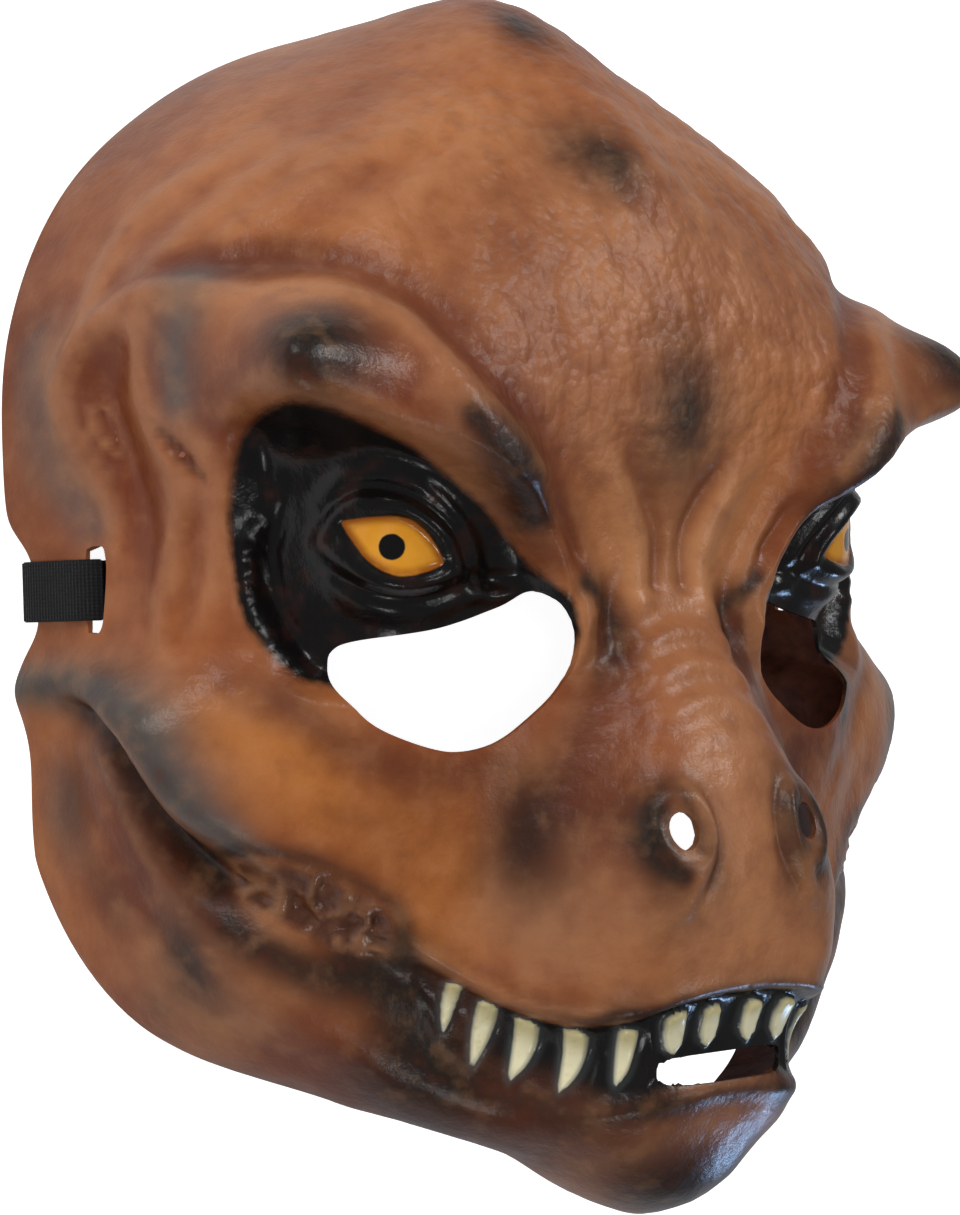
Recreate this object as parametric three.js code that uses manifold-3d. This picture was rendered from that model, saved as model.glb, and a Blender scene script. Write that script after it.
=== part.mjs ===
// A dinosaur face mask: one thin moulded plastic shell with carved brows, eyes, snout and teeth,
// and a flat elastic strap looped through a slot at each side. It lies face up on its rim.
// Millimetres. X runs across the face, Y towards the crown of the head, Z out of the face.
import * as THREE from 'three';
import { mergeVertices } from 'three/addons/utils/BufferGeometryUtils.js';
import Module from 'manifold-3d';

// Driving dimensions
const WALL = 1.0;
const RIM_STEP_DEG = 15;
const RIM_RADIUS = [129.4, 127.5, 126, 124, 117.5, 108, 101.5, 103, 114, 124.5, 120.8, 119.8, 130.7];
const RIM_HEIGHT = [0, 0, 0, 0, 0, 0, 0, 0, 1, 20, 48, 63, 66];
const WALL_SHARPNESS = [2.9, 2.9, 3.0, 3.1, 3.0, 2.9, 2.9, 3.3, 3.6, 4, 6, 12, 24];
const DOME_ROUNDNESS = 2.1;
// How far the jaw swells beyond its rim, between which angles, and how soon above the rim
const JAW_BULGE = { out: 3.0, deg: [132, 165], steepness: 2.2 };
// The low arch in the rim where the strap runs: angles between which it fades in and out
const STRAP_ARCH = { up: 3, rise: 7.5, half: 12, flatness: 4, startDeg: [60, 80], endDeg: [130, 110] };
// Height of the skin above the rim plane down the face, at places up the face
const CHEEK_UP = [-132, -113, -85, -50, -20, 10, 50, 131];
const CHEEK_HEIGHT = [84, 86, 84, 88, 90, 93, 103, 100];
// How far the snout stands out of that skin, its half width and how square it is across
const SNOUT_UP = [-132, -113, -85, -77, -61, -50, -36, -22, -11, 0, 12, 40];
const SNOUT_OUT = [12, 15.5, 24.5, 27, 28, 25.5, 21, 14.5, 8, 1.5, 0.5, 0];
const SNOUT_HALF = [33, 34, 37.5, 39, 37, 33.5, 28, 22.5, 19, 18, 18, 20];
const SNOUT_SQUARE = [5, 5, 5.5, 6, 6, 5.5, 4.8, 4, 3.5, 3.2, 3.2, 3.2];

// Carving is placed by two distances along the skin, across from the middle and up from the eyes,
// as longitude and latitude on a ball of this radius behind the face.
const BALL_RADIUS = 115;
const BALL_DEPTH = 20;
// Round forms: across, up, height, half width across, half width up, turn in degrees, pointedness
const FORMS = {
  crown_peak: [0, 134, 5.5, 36, 13, 0, 2],
  crown_slope: [0, 116, 5, 26, 15, 0, 2],
  forehead_knob: [0, 82, 4, 8, 11, 0, 2],
  brow_horn: [79.5, 39.6, 17.5, 7.6, 6.6, 0, 1.6],
  inner_brow_knob: [42, 25, 3.5, 6, 4, 35, 2],
  temple_hollow: [124, 28, -5.5, 8, 19, 0, 2],
  temple_fold: [109, 38, 2.5, 9, 18, 0, 2],
  cheek_bone: [110, -25, 14.5, 14, 11.5, 0, 2],
  cheek_front: [99, -38, 5, 10, 7, 0, 2],
  eyeball: [64, 9, 9, 12, 11, 0, 2.6],
  jaw_corner: [153, -24, 2, 8, 6, 0, 2],
};
// Long forms: rows of across, up, height, half width
const BROW = [[135, 46, 1, 6], [122, 54, 5, 7], [107, 54, 6, 7], [78, 40, 6.5, 7], [54, 33, 8, 8],
  [39, 18, 6, 6], [25, -2, 3, 4], [20, -9, 0.5, 3.5]];
const BROW_FRONT = [[92, 36, 0.8, 5], [82, 34, 1.8, 5], [71, 32, 2.3, 5], [60, 30, 3.8, 5],
  [51, 27, 3.5, 4.5], [43, 20, 1.5, 4]];
const UPPER_LIP = [[157, -19, 2, 4], [141, -17, 3.5, 4.5], [125, -18.5, 4, 4.5], [113.5, -23, 4, 4],
  [108, -32, 4, 4], [104, -40, 3.5, 4], [96, -46, 3, 4], [84, -50, 2.5, 4.5], [71, -58, 2.5, 4.5],
  [60, -65, 2.5, 4], [48, -69, 2.2, 3.5], [35, -69.5, 2, 3.5], [20, -65.5, 1.6, 3], [0, -63, 1.3, 3]];
const MOUTH_GROOVE = [[146, -24, -2, 4], [133, -24.5, -4, 3.5], [123.7, -27, -5, 3.5],
  [118, -33, -5.5, 3.8], [115, -40, -5.5, 4], [111, -46, -5, 4], [103, -51.5, -4.5, 4],
  [90, -57, -3.5, 4.5], [76, -63, -3.5, 4.5], [63, -71, -3, 4], [52, -77.5, -3, 3.5],
  [41, -80, -3, 3.5], [28, -77.5, -2.2, 3.2], [15, -73, 0, 3], [0, -72, 0.3, 3]];
const LOWER_LIP = [[130, -46, 1.5, 5], [106, -63, 2, 5.5], [82, -76, 2.5, 5.5], [62, -86, 2.5, 5],
  [44, -90, 2.5, 4], [28, -87.5, 2.5, 4], [14, -83, 2.2, 4], [0, -82, 2.2, 4]];
const EYE_SOCKET = [[94, 34], [96, 12], [92, -9], [80, -20], [46, -18], [30, -2], [38, 17], [58, 30],
  [84, 36]];
const SOCKET_DEPTH = 7;
const SOCKET_SLOPE = [-2.5, 7.5];
const NOSTRIL = { across: 15, up: -41, ring: 4.6, thick: 1.6, height: 2 };
const WRINKLES = { up: -15, spacing: 6.5, height: 0.9, halfUp: 9, halfAcross: 13, bend: 0.02 };
// Teeth: across and up of the root, across and up of the tip, radius at the root
const TEETH = [[54.2, -71, 56.8, -79, 2.1], [48, -73.6, 50.4, -83.8, 2.3], [40.8, -75, 42.4, -85, 2.4],
  [32.2, -73.6, 33.2, -83.9, 2.4], [22.8, -70.6, 23.4, -80.2, 2.2], [14.4, -67.2, 14.2, -73.4, 2.1],
  [5.4, -66.6, 5.6, -73, 2.1]];
// How a tooth stands: out of the gum and into it, its middle ring and how it thins along its length
const TOOTH = { out: 2.4, into: 0.8, sides: 5, middle: 0.6, thinning: 0.55, thinningPower: 1.5 };
// How far its root's end lies behind and under the first ring, and its tip above the gum
const TOOTH_END = { behind: 0.6, under: 0.4, tipOut: 0.2 };

// Openings cut straight through the wall, as plan outlines on the right half of the face
const EYE_HOLE = [[71, -15], [70, -11], [66, -9], [52, -7], [38, -3], [32, 0], [27, -6], [26, -13],
  [29, -20], [36, -26], [45, -31], [54, -32], [63, -29], [69, -25], [72, -20]];
const NOSTRIL_HOLE = { x: 17.6, y: -49.5, halfAcross: 3.1, halfUp: 3.9, sides: 12, squareness: 2 };
const MOUTH_SLOT = { x: 0, y: -99.4, halfAcross: 17.5, halfUp: 3.0, sides: 16, squareness: 6 };
const CUT_LOW = 40;
const CUT_HIGH = 135;
// The strap's slot is cut sideways through the wall: y up the face, then heights
const STRAP_SLOT = { y: 3, halfUp: 9, zLow: 23.5, zHigh: 28.5, sides: 16, squareness: 6 };
const SLOT_CUT = { middle: 100, half: 20 };

// The strap: flat woven elastic, through the slot, round the rim and back on itself, then across
// under the mask. Rows of distance from the middle of the face and height, from the sewn tail.
const STRAP_WIDTH = 12.7;
const STRAP_THICK = 1.2;
const STRAP_END = [[84, 3.0], [90, 3.2], [94, 4.3], [97, 7.2], [98.5, 11], [98.2, 17], [97.2, 22],
  [97.3, 24.6], [98.7, 26.2], [100.3, 25.4], [101.5, 22.6], [102.4, 17], [103.2, 11], [103.4, 7.4],
  [102.7, 4.8], [100.8, 3.5], [97.5, 2.7], [92, 1.8], [84, 1.3], [70, 1.0], [53, 0.95], [35, 0.95],
  [17, 0.95]];
// The run below the mask bows a little towards the crown
const STRAP_BOW = { up: 8, half: 84, power: 1.5 };

// Grid of the skin: columns, crowded towards the middle, and rows, crowded at the mouth and brows
const ACROSS = 42;
const CROWD = 0.8;
const ROW = [0, 2, 17, 26, 28.5, 37, 43];
const ROW_UP = [-1, -0.9, -0.4, 0, 0.12, 0.45, 1];
const STEP = 1e-3;
const SAME_POINT = 1e-4;
const TIE = 1e-6;
// Where the search for a place on the skin starts, and its rounds
const SEARCH = { across: 160, up: 150, rounds: 14 };

// Smooth curve through a value at each knot
function through(knots, values, at) {
  const last = knots.length - 1;
  const t = Math.min(Math.max(at, knots[0]), knots[last]);
  let i = 0;
  while (i < last - 1 && t > knots[i + 1]) i += 1;
  const slope = (k) => {
    const a = Math.max(k - 1, 0);
    const b = Math.min(k + 1, last);
    return (values[b] - values[a]) / (knots[b] - knots[a]);
  };
  const h = knots[i + 1] - knots[i];
  const f = (t - knots[i]) / h;
  const g = 1 - f;
  return values[i] * (1 + 2 * f) * g * g + slope(i) * h * f * g * g
    + values[i + 1] * (3 - 2 * f) * f * f - slope(i + 1) * h * g * f * f;
}

// Value round the rim, from the crown (0) to the chin (180 degrees), level at both ends
function roundRim(values, degrees) {
  const t = degrees / RIM_STEP_DEG;
  const i = Math.min(Math.floor(t), values.length - 2);
  const f = t - i;
  const a = values[i === 0 ? 1 : i - 1];
  const b = values[i];
  const c = values[i + 1];
  const d = values[i + 2 < values.length ? i + 2 : values.length - 2];
  return b + 0.5 * f * (c - a + f * (2 * a - 5 * b + 4 * c - d + f * (3 * (b - c) + d - a)));
}

function smoothStep(low, high, value) {
  const t = Math.min(Math.max((value - low) / (high - low), 0), 1);
  return t * t * (3 - 2 * t);
}

// The plain skin before carving, for places across (u) and up (v) from -1 to 1
function plainSkin(u, v) {
  const across = u * Math.sqrt(1 - v * v / 2);
  const up = v * Math.sqrt(1 - u * u / 2);
  const reach = Math.min(Math.hypot(across, up), 1);
  const degrees = THREE.MathUtils.radToDeg(Math.atan2(Math.abs(across), up));
  const angle = THREE.MathUtils.degToRad(degrees);
  const out = Math.sin(reach * Math.PI / 2);
  const radius = roundRim(RIM_RADIUS, degrees);
  const jaw = JAW_BULGE.out * smoothStep(...JAW_BULGE.deg, degrees);
  const rise = Math.max(0, 1 - out ** roundRim(WALL_SHARPNESS, degrees)) ** (1 / DOME_ROUNDNESS);
  const r = radius * out + jaw * out ** 3 * Math.min(1, rise * JAW_BULGE.steepness);
  const x = r * Math.sin(angle) * Math.sign(across);
  const y = r * Math.cos(angle);
  const beside = (radius * Math.cos(angle) - STRAP_ARCH.up) / STRAP_ARCH.half;
  const arch = STRAP_ARCH.rise * Math.exp(-(beside ** STRAP_ARCH.flatness))
    * smoothStep(...STRAP_ARCH.startDeg, degrees) * smoothStep(...STRAP_ARCH.endDeg, degrees);
  const rim = Math.max(0, roundRim(RIM_HEIGHT, degrees)) + arch;
  const aside = Math.abs(x) / through(SNOUT_UP, SNOUT_HALF, y);
  const square = through(SNOUT_UP, SNOUT_SQUARE, y);
  const snout = through(SNOUT_UP, SNOUT_OUT, y) * Math.exp(-(aside ** square));
  const front = through(CHEEK_UP, CHEEK_HEIGHT, y) + snout;
  return new THREE.Vector3(x, y, rim + (front - rim) * rise);
}

// Distances along the skin, across and up, of a point
function onSkin(point) {
  const z = point.z + BALL_DEPTH;
  const far = Math.hypot(point.x, point.y, z);
  return [BALL_RADIUS * Math.atan2(Math.abs(point.x), z), BALL_RADIUS * Math.asin(point.y / far)];
}

// Points of a smooth curve through rows of numbers
function smoothRows(rows, closed = false, steps = 5) {
  const n = rows.length;
  const row = (i) => (closed ? rows[(i + n) % n] : rows[Math.min(Math.max(i, 0), n - 1)]);
  const points = [];
  for (let i = 0; i < (closed ? n : n - 1); i += 1) {
    for (let k = 0; k < steps; k += 1) {
      const f = k / steps;
      points.push(row(i).map((b, j) => {
        const [a, c, d] = [row(i - 1)[j], row(i + 1)[j], row(i + 2)[j]];
        return b + 0.5 * f * (c - a + f * (2 * a - 5 * b + 4 * c - d + f * (3 * (b - c) + d - a)));
      }));
    }
  }
  if (!closed) points.push(rows[n - 1]);
  return points;
}

// Nearest place on a curve: its distance and the row there
function nearest(curve, a, b, closed = false) {
  let best = Infinity;
  let found = curve[0];
  const n = curve.length;
  for (let i = 0; i < (closed ? n : n - 1); i += 1) {
    const p = curve[i];
    const q = curve[(i + 1) % n];
    const ex = q[0] - p[0];
    const ey = q[1] - p[1];
    const t = Math.min(Math.max(((a - p[0]) * ex + (b - p[1]) * ey) / (ex * ex + ey * ey), 0), 1);
    const d = Math.hypot(a - p[0] - t * ex, b - p[1] - t * ey);
    if (d < best) {
      best = d;
      found = p.map((value, k) => value + t * (q[k] - value));
    }
  }
  return [best, found];
}

// Distance to the edge of a closed outline, positive inside it
function within(curve, a, b) {
  let inside = false;
  for (let i = 0, j = curve.length - 1; i < curve.length; j = i, i += 1) {
    const [xi, yi] = curve[i];
    const [xj, yj] = curve[j];
    if ((yi > b) !== (yj > b) && a < (xj - xi) * (b - yi) / (yj - yi) + xi) inside = !inside;
  }
  const distance = nearest(curve, a, b, true)[0];
  return inside ? distance : -distance;
}

function roundForm([across, up, height, halfAcross, halfUp, turn, power], a, b) {
  const t = THREE.MathUtils.degToRad(turn);
  const p = ((a - across) * Math.cos(t) + (b - up) * Math.sin(t)) / halfAcross;
  const q = ((b - up) * Math.cos(t) - (a - across) * Math.sin(t)) / halfUp;
  return height * Math.exp(-0.5 * (p * p + q * q) ** (power / 2));
}

function longForm(curve, a, b) {
  const [distance, [, , height, half]] = nearest(curve, a, b);
  return height * Math.exp(-0.5 * (distance / half) ** 2);
}

const LONG_FORMS = [BROW, BROW_FRONT, UPPER_LIP, MOUTH_GROOVE, LOWER_LIP].map((rows) => smoothRows(rows));
const SOCKET_EDGE = smoothRows(EYE_SOCKET, true);

// Height of the carving over the plain skin
function carving(a, b) {
  let height = 0;
  for (const form of Object.values(FORMS)) height += roundForm(form, a, b);
  for (const curve of LONG_FORMS) height += longForm(curve, a, b);
  height -= SOCKET_DEPTH * smoothStep(...SOCKET_SLOPE, within(SOCKET_EDGE, a, b));
  const ring = (Math.hypot(a - NOSTRIL.across, b - NOSTRIL.up) - NOSTRIL.ring) / NOSTRIL.thick;
  height += NOSTRIL.height * Math.exp(-0.5 * ring * ring);
  const up = b - WRINKLES.up;
  const fade = Math.exp(-0.5 * ((up / WRINKLES.halfUp) ** 2 + (a / WRINKLES.halfAcross) ** 2));
  const wave = Math.cos(2 * Math.PI * (up + WRINKLES.bend * a * a) / WRINKLES.spacing);
  return height + WRINKLES.height * fade * wave;
}

// Slope vector square to a surface given by a function of u and v
function squareTo(surface, u, v) {
  const uc = Math.min(Math.max(u, STEP - 1), 1 - STEP);
  const vc = Math.min(Math.max(v, STEP - 1), 1 - STEP);
  const du = surface(uc + STEP, vc).sub(surface(uc - STEP, vc));
  const dv = surface(uc, vc + STEP).sub(surface(uc, vc - STEP));
  return du.cross(dv).normalize();
}

function carvedSkin(u, v) {
  const plain = plainSkin(u, v);
  return plain.clone().addScaledVector(squareTo(plainSkin, u, v), carving(...onSkin(plain)));
}

// Place (u, v) on the skin of distances across and up, on the right half
function placeOf(across, up) {
  let u = across / SEARCH.across;
  let v = up / SEARCH.up;
  for (let i = 0; i < SEARCH.rounds; i += 1) {
    const [a, b] = onSkin(plainSkin(u, v));
    const [au, bu] = onSkin(plainSkin(u + STEP, v));
    const [av, bv] = onSkin(plainSkin(u, v + STEP));
    const m = [(au - a) / STEP, (av - a) / STEP, (bu - b) / STEP, (bv - b) / STEP];
    const det = m[0] * m[3] - m[1] * m[2];
    u += (m[3] * (across - a) - m[1] * (up - b)) / det;
    v += (m[0] * (up - b) - m[2] * (across - a)) / det;
  }
  return [u, v];
}

const wasm = await Module();
wasm.setup();

// A closed solid for joining and cutting, from a geometry, and back
function solidOf(geometry) {
  const bare = geometry.index ? geometry.clone() : geometry;
  bare.deleteAttribute('normal');
  bare.deleteAttribute('uv');
  const merged = mergeVertices(bare, SAME_POINT);
  return new wasm.Manifold(new wasm.Mesh({
    numProp: 3,
    vertProperties: new Float32Array(merged.attributes.position.array),
    triVerts: new Uint32Array(merged.index.array),
  }));
}

function geometryOf(solid) {
  const mesh = solid.getMesh();
  const geometry = new THREE.BufferGeometry();
  geometry.setAttribute('position', new THREE.BufferAttribute(new Float32Array(mesh.vertProperties), 3));
  geometry.setIndex(new THREE.BufferAttribute(new Uint32Array(mesh.triVerts), 1));
  geometry.computeVertexNormals();
  return geometry;
}

function indexed(points, faces) {
  const geometry = new THREE.BufferGeometry();
  const numbers = points.flatMap((p) => [p.x, p.y, p.z]);
  geometry.setAttribute('position', new THREE.Float32BufferAttribute(numbers, 3));
  geometry.setIndex(faces.flat());
  return geometry;
}

// The shell: the carved skin outside, the same skin a wall inwards, and the rim between them
function shellGeometry() {
  const us = Array.from({ length: ACROSS + 1 }, (_, i) => 2 * i / ACROSS - 1)
    .map((s) => s * (CROWD + (1 - CROWD) * s * s));
  const vs = Array.from({ length: ROW.at(-1) + 1 }, (_, j) => through(ROW, ROW_UP, j));
  const outer = [];
  const inner = [];
  vs.forEach((v) => us.forEach((u) => {
    const point = carvedSkin(u, v);
    const square = squareTo(carvedSkin, u, v);
    if (Math.abs(u) === 1 || Math.abs(v) === 1) square.setZ(0).normalize();
    outer.push(point);
    inner.push(point.clone().addScaledVector(square, -WALL));
  }));
  const wide = us.length;
  const count = outer.length;
  const faces = [];
  for (let j = 0; j + 1 < vs.length; j += 1) {
    for (let i = 0; i + 1 < wide; i += 1) {
      const [a, b, c, d] = [j * wide + i, j * wide + i + 1, (j + 1) * wide + i + 1, (j + 1) * wide + i];
      const middle = carvedSkin((us[i] + us[i + 1]) / 2, (vs[j] + vs[j + 1]) / 2);
      const gap = (p, q) => outer[p].clone().add(outer[q]).multiplyScalar(0.5).distanceTo(middle);
      const pair = gap(a, c) <= gap(b, d) + TIE * (i < ACROSS / 2 ? 1 : -1)
        ? [[a, b, c], [a, c, d]] : [[a, b, d], [b, c, d]];
      for (const [p, q, r] of pair) {
        faces.push([p, q, r], [p + count, r + count, q + count]);
      }
    }
  }
  const edge = [];
  for (let i = 0; i < wide; i += 1) edge.push(i);
  for (let j = 1; j < vs.length; j += 1) edge.push(j * wide + wide - 1);
  for (let i = wide - 2; i >= 0; i -= 1) edge.push((vs.length - 1) * wide + i);
  for (let j = vs.length - 2; j > 0; j -= 1) edge.push(j * wide);
  edge.forEach((p, k) => {
    const q = edge[(k + 1) % edge.length];
    faces.push([q, p, p + count], [q, p + count, q + count]);
  });
  return indexed([...outer, ...inner], faces);
}

// A tooth: a round peg that tapers from its root in the gum to a point
function toothGeometry([rootAcross, rootUp, tipAcross, tipUp, radius], side) {
  const rings = [0, TOOTH.middle];
  const n = TOOTH.sides;
  const points = [];
  const at = (t) => {
    const [u, v] = placeOf(rootAcross + t * (tipAcross - rootAcross), rootUp + t * (tipUp - rootUp));
    return [carvedSkin(u * side, v), squareTo(plainSkin, u * side, v)];
  };
  const along = at(1)[0].sub(at(0)[0]).normalize();
  for (const t of rings) {
    const [centre, out] = at(t);
    const sideways = along.clone().cross(out).normalize();
    const size = radius * (1 - TOOTH.thinning * t ** TOOTH.thinningPower);
    for (let k = 0; k < n; k += 1) {
      const angle = 2 * Math.PI * k / n;
      const lift = Math.sin(angle) * (Math.sin(angle) > 0 ? TOOTH.out * size / radius : TOOTH.into);
      const beside = size * Math.cos(angle);
      points.push(centre.clone().addScaledVector(sideways, beside).addScaledVector(out, lift));
    }
  }
  const [root, rootOut] = at(0);
  const [tip, tipOut] = at(1);
  points.push(root.addScaledVector(along, -TOOTH_END.behind).addScaledVector(rootOut, -TOOTH_END.under));
  points.push(tip.addScaledVector(tipOut, TOOTH_END.tipOut));
  const faces = [];
  for (let k = 0; k < n; k += 1) {
    const m = (k + 1) % n;
    for (let ring = 0; ring + 1 < rings.length; ring += 1) {
      const [a, b, c, d] = [ring * n + k, ring * n + m, ring * n + n + m, ring * n + n + k];
      faces.push([a, c, b], [a, d, c]);
    }
    faces.push([rings.length * n, k, m]);
    faces.push([rings.length * n + 1, (rings.length - 1) * n + m, (rings.length - 1) * n + k]);
  }
  return indexed(points, faces);
}

// A straight cutter through the face from a plan outline
function faceCutter(outline) {
  const shape = new THREE.Shape(outline.map(([x, y]) => new THREE.Vector2(x, y)));
  const cutter = new THREE.ExtrudeGeometry(shape, { depth: CUT_HIGH - CUT_LOW, bevelEnabled: false });
  return cutter.translate(0, 0, CUT_LOW);
}

// Outline with round corners of an opening centred on (x, y)
function roundOutline({ x, y, halfAcross, halfUp, sides, squareness }) {
  return Array.from({ length: sides }, (_, k) => {
    const angle = 2 * Math.PI * k / sides;
    const bend = (value) => Math.sign(value) * Math.abs(value) ** (2 / squareness);
    return [x + halfAcross * bend(Math.cos(angle)), y + halfUp * bend(Math.sin(angle))];
  });
}

function faceShell() {
  let solid = solidOf(shellGeometry());
  for (const side of [-1, 1]) {
    for (const tooth of TEETH) {
      const peg = solidOf(toothGeometry(tooth, side));
      solid = solid.add(peg);
    }
  }
  const eye = smoothRows(EYE_HOLE, true, 2);
  const nostril = roundOutline(NOSTRIL_HOLE);
  for (const outline of [eye, nostril]) {
    const mirrored = outline.map(([x, y]) => [-x, y]).reverse();
    solid = solid.subtract(solidOf(faceCutter(outline)));
    solid = solid.subtract(solidOf(faceCutter(mirrored)));
  }
  solid = solid.subtract(solidOf(faceCutter(roundOutline(MOUTH_SLOT))));
  const { y, halfUp, zLow, zHigh, sides, squareness } = STRAP_SLOT;
  const slot = roundOutline({
    x: y, y: (zLow + zHigh) / 2, halfAcross: halfUp, halfUp: (zHigh - zLow) / 2, sides, squareness,
  });
  const slotShape = new THREE.Shape(slot.map(([up, z]) => new THREE.Vector2(up, z)));
  for (const side of [-1, 1]) {
    const bar = new THREE.ExtrudeGeometry(slotShape, { depth: 2 * SLOT_CUT.half, bevelEnabled: false });
    bar.applyMatrix4(new THREE.Matrix4().set(0, 0, 1, 0, 1, 0, 0, 0, 0, 1, 0, 0, 0, 0, 0, 1));
    solid = solid.subtract(solidOf(bar.translate(side * SLOT_CUT.middle - SLOT_CUT.half, 0, 0)));
  }
  return geometryOf(solid);
}

// The strap as one band, drawn edge on and given its width up the face
function strapGeometry() {
  const line = [...STRAP_END, ...STRAP_END.map(([x, z]) => [-x, z]).reverse()]
    .map(([x, z]) => new THREE.Vector2(x, z));
  const side = (sign) => line.map((point, i) => {
    const before = line[Math.max(i - 1, 0)];
    const after = line[Math.min(i + 1, line.length - 1)];
    const along = after.clone().sub(before).normalize();
    return new THREE.Vector2(-along.y, along.x).multiplyScalar(sign * STRAP_THICK / 2).add(point);
  });
  const outline = new THREE.Shape([...side(-1), ...side(1).reverse()]);
  const band = new THREE.ExtrudeGeometry(outline, { depth: STRAP_WIDTH, bevelEnabled: false });
  band.rotateX(Math.PI / 2).translate(0, STRAP_SLOT.y + STRAP_WIDTH / 2, 0);
  const place = band.attributes.position;
  for (let i = 0; i < place.count; i += 1) {
    const share = Math.max(0, 1 - (place.getX(i) / STRAP_BOW.half) ** 2);
    place.setY(i, place.getY(i) + STRAP_BOW.up * share ** STRAP_BOW.power);
  }
  return band;
}

const group = new THREE.Group();
const plastic = new THREE.MeshStandardMaterial({ color: 0x8a5534, roughness: 0.4, metalness: 0 });
const shell = new THREE.Mesh(faceShell(), plastic);
shell.name = 'mask_shell';
group.add(shell);
const elastic = new THREE.MeshStandardMaterial({ color: 0x15151a, roughness: 0.9, metalness: 0 });
const strap = new THREE.Mesh(strapGeometry(), elastic);
strap.name = 'elastic_strap';
group.add(strap);

export default group;
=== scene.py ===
"""A moulded plastic dinosaur mask, lying face up on its rim, with its elastic strap.

Sizes are in millimetres until a mesh is made, which is in metres.
X runs across the face, Y towards the crown and Z out of the face.
Forms and paint are placed by two distances along the skin: a, across from the middle,
and b, up from the eyes.
"""

import logging
import math
from dataclasses import dataclass, field
from enum import Enum
from typing import Sequence

import bmesh
import bpy
import numpy as np
from mathutils import Matrix, Vector


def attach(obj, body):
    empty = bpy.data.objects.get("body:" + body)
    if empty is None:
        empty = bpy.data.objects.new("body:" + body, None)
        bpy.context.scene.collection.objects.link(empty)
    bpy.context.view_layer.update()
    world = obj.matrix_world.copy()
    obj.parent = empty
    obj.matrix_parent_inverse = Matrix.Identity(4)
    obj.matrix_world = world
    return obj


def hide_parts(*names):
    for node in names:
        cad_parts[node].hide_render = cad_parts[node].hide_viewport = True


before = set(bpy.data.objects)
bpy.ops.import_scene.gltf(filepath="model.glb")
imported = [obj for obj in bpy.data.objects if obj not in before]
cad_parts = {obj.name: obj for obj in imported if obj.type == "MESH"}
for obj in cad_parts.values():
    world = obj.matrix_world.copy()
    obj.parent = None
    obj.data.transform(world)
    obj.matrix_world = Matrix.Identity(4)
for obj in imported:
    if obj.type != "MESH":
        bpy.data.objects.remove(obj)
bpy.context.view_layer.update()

MM = 0.001
ROOT = "root"
FAR = 1e9
TINY = 1e-12
# The distance that a place has when no opening or tooth is anywhere near it.
NOWHERE = -50.0
# Distances to an outline are measured up to this far from it.
OUTLINE_REACH = 40.0
# What stirs a place on a lattice into a number that looks random.
HASH_STEPS = (374761393, 668265263, 2147483647, 974634777, 1274126177, 69069, 12345)
HASH_SHIFTS = (13, 16)
HASH_MASK, HASH_BITS = 0x7FFFFFFF, 0xFFFFFF
SEED_STEP = 17
# Where a pebble's middle lies in its cell, as shares of the cell, and how wide it is.
PEBBLE_OFFSET, PEBBLE_JITTER, PEBBLE_REACH = 0.15, 0.7, 0.55
Array = np.ndarray
Rows = Sequence[Sequence[float]]
Span = tuple[float, float]
Numbers = tuple[float, ...]
Place = tuple[float, float, float]
Thing = bpy.types.Object
Socket = bpy.types.NodeSocket
Feed = Socket | float | str | tuple

logging.basicConfig(level=logging.INFO, format="%(message)s")
LOG = logging.getLogger("dinosaur_mask")


# Curves and noise


def eased(a: Array, b: Array, c: Array, d: Array, f: Array) -> Array:
    """Smooth curve from b at f = 0 to c at f = 1 that heeds a, before b, and d, after c."""
    return b + 0.5 * f * (c - a + f * (2 * a - 5 * b + 4 * c - d + f * (3 * (b - c) + d - a)))


def through(knots: Numbers, values: Numbers, at: Array) -> Array:
    """Smooth curve through a value at each knot.

    Args:
        knots: Rising places of the values.
        values: The value at each knot.
        at: Places to read the curve at.

    Returns:
        The curve's value at each place.
    """
    k, w = np.asarray(knots, float), np.asarray(values, float)
    last = len(k) - 1
    t = np.clip(at, k[0], k[last])
    i = np.clip(np.searchsorted(k, t, side="left") - 1, 0, last - 1)
    below = np.maximum(np.arange(last + 1) - 1, 0)
    above = np.minimum(np.arange(last + 1) + 1, last)
    slope = (w[above] - w[below]) / (k[above] - k[below])
    h = k[i + 1] - k[i]
    f = (t - k[i]) / h
    g = 1 - f
    start = w[i] * (1 + 2 * f) * g * g + slope[i] * h * f * g * g
    return start + w[i + 1] * (3 - 2 * f) * f * f - slope[i + 1] * h * g * f * f


def round_rim(values: Numbers, degrees: Array, pitch: float = 15.0) -> Array:
    """Value round the rim, from the crown at 0 to the chin at 180 degrees.

    Args:
        values: One value to each pitch.
        degrees: Where to read them.
        pitch: Degrees from one value to the next.

    Returns:
        The smooth value at each place, level at both ends.
    """
    w = np.asarray(values, float)
    last = len(w) - 1
    i = np.minimum(np.floor(degrees / pitch).astype(int), last - 1)
    before = w[np.where(i == 0, 1, i - 1)]
    after = w[np.where(i + 2 <= last, np.minimum(i + 2, last), last - 1)]
    return eased(before, w[i], w[i + 1], after, degrees / pitch - i)


def smooth_step(low: float, high: float, value: Array) -> Array:
    """Rise from 0 at low to 1 at high, level at both ends; falls where low is above high."""
    t = np.clip((value - low) / (high - low), 0, 1)
    return t * t * (3 - 2 * t)


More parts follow.
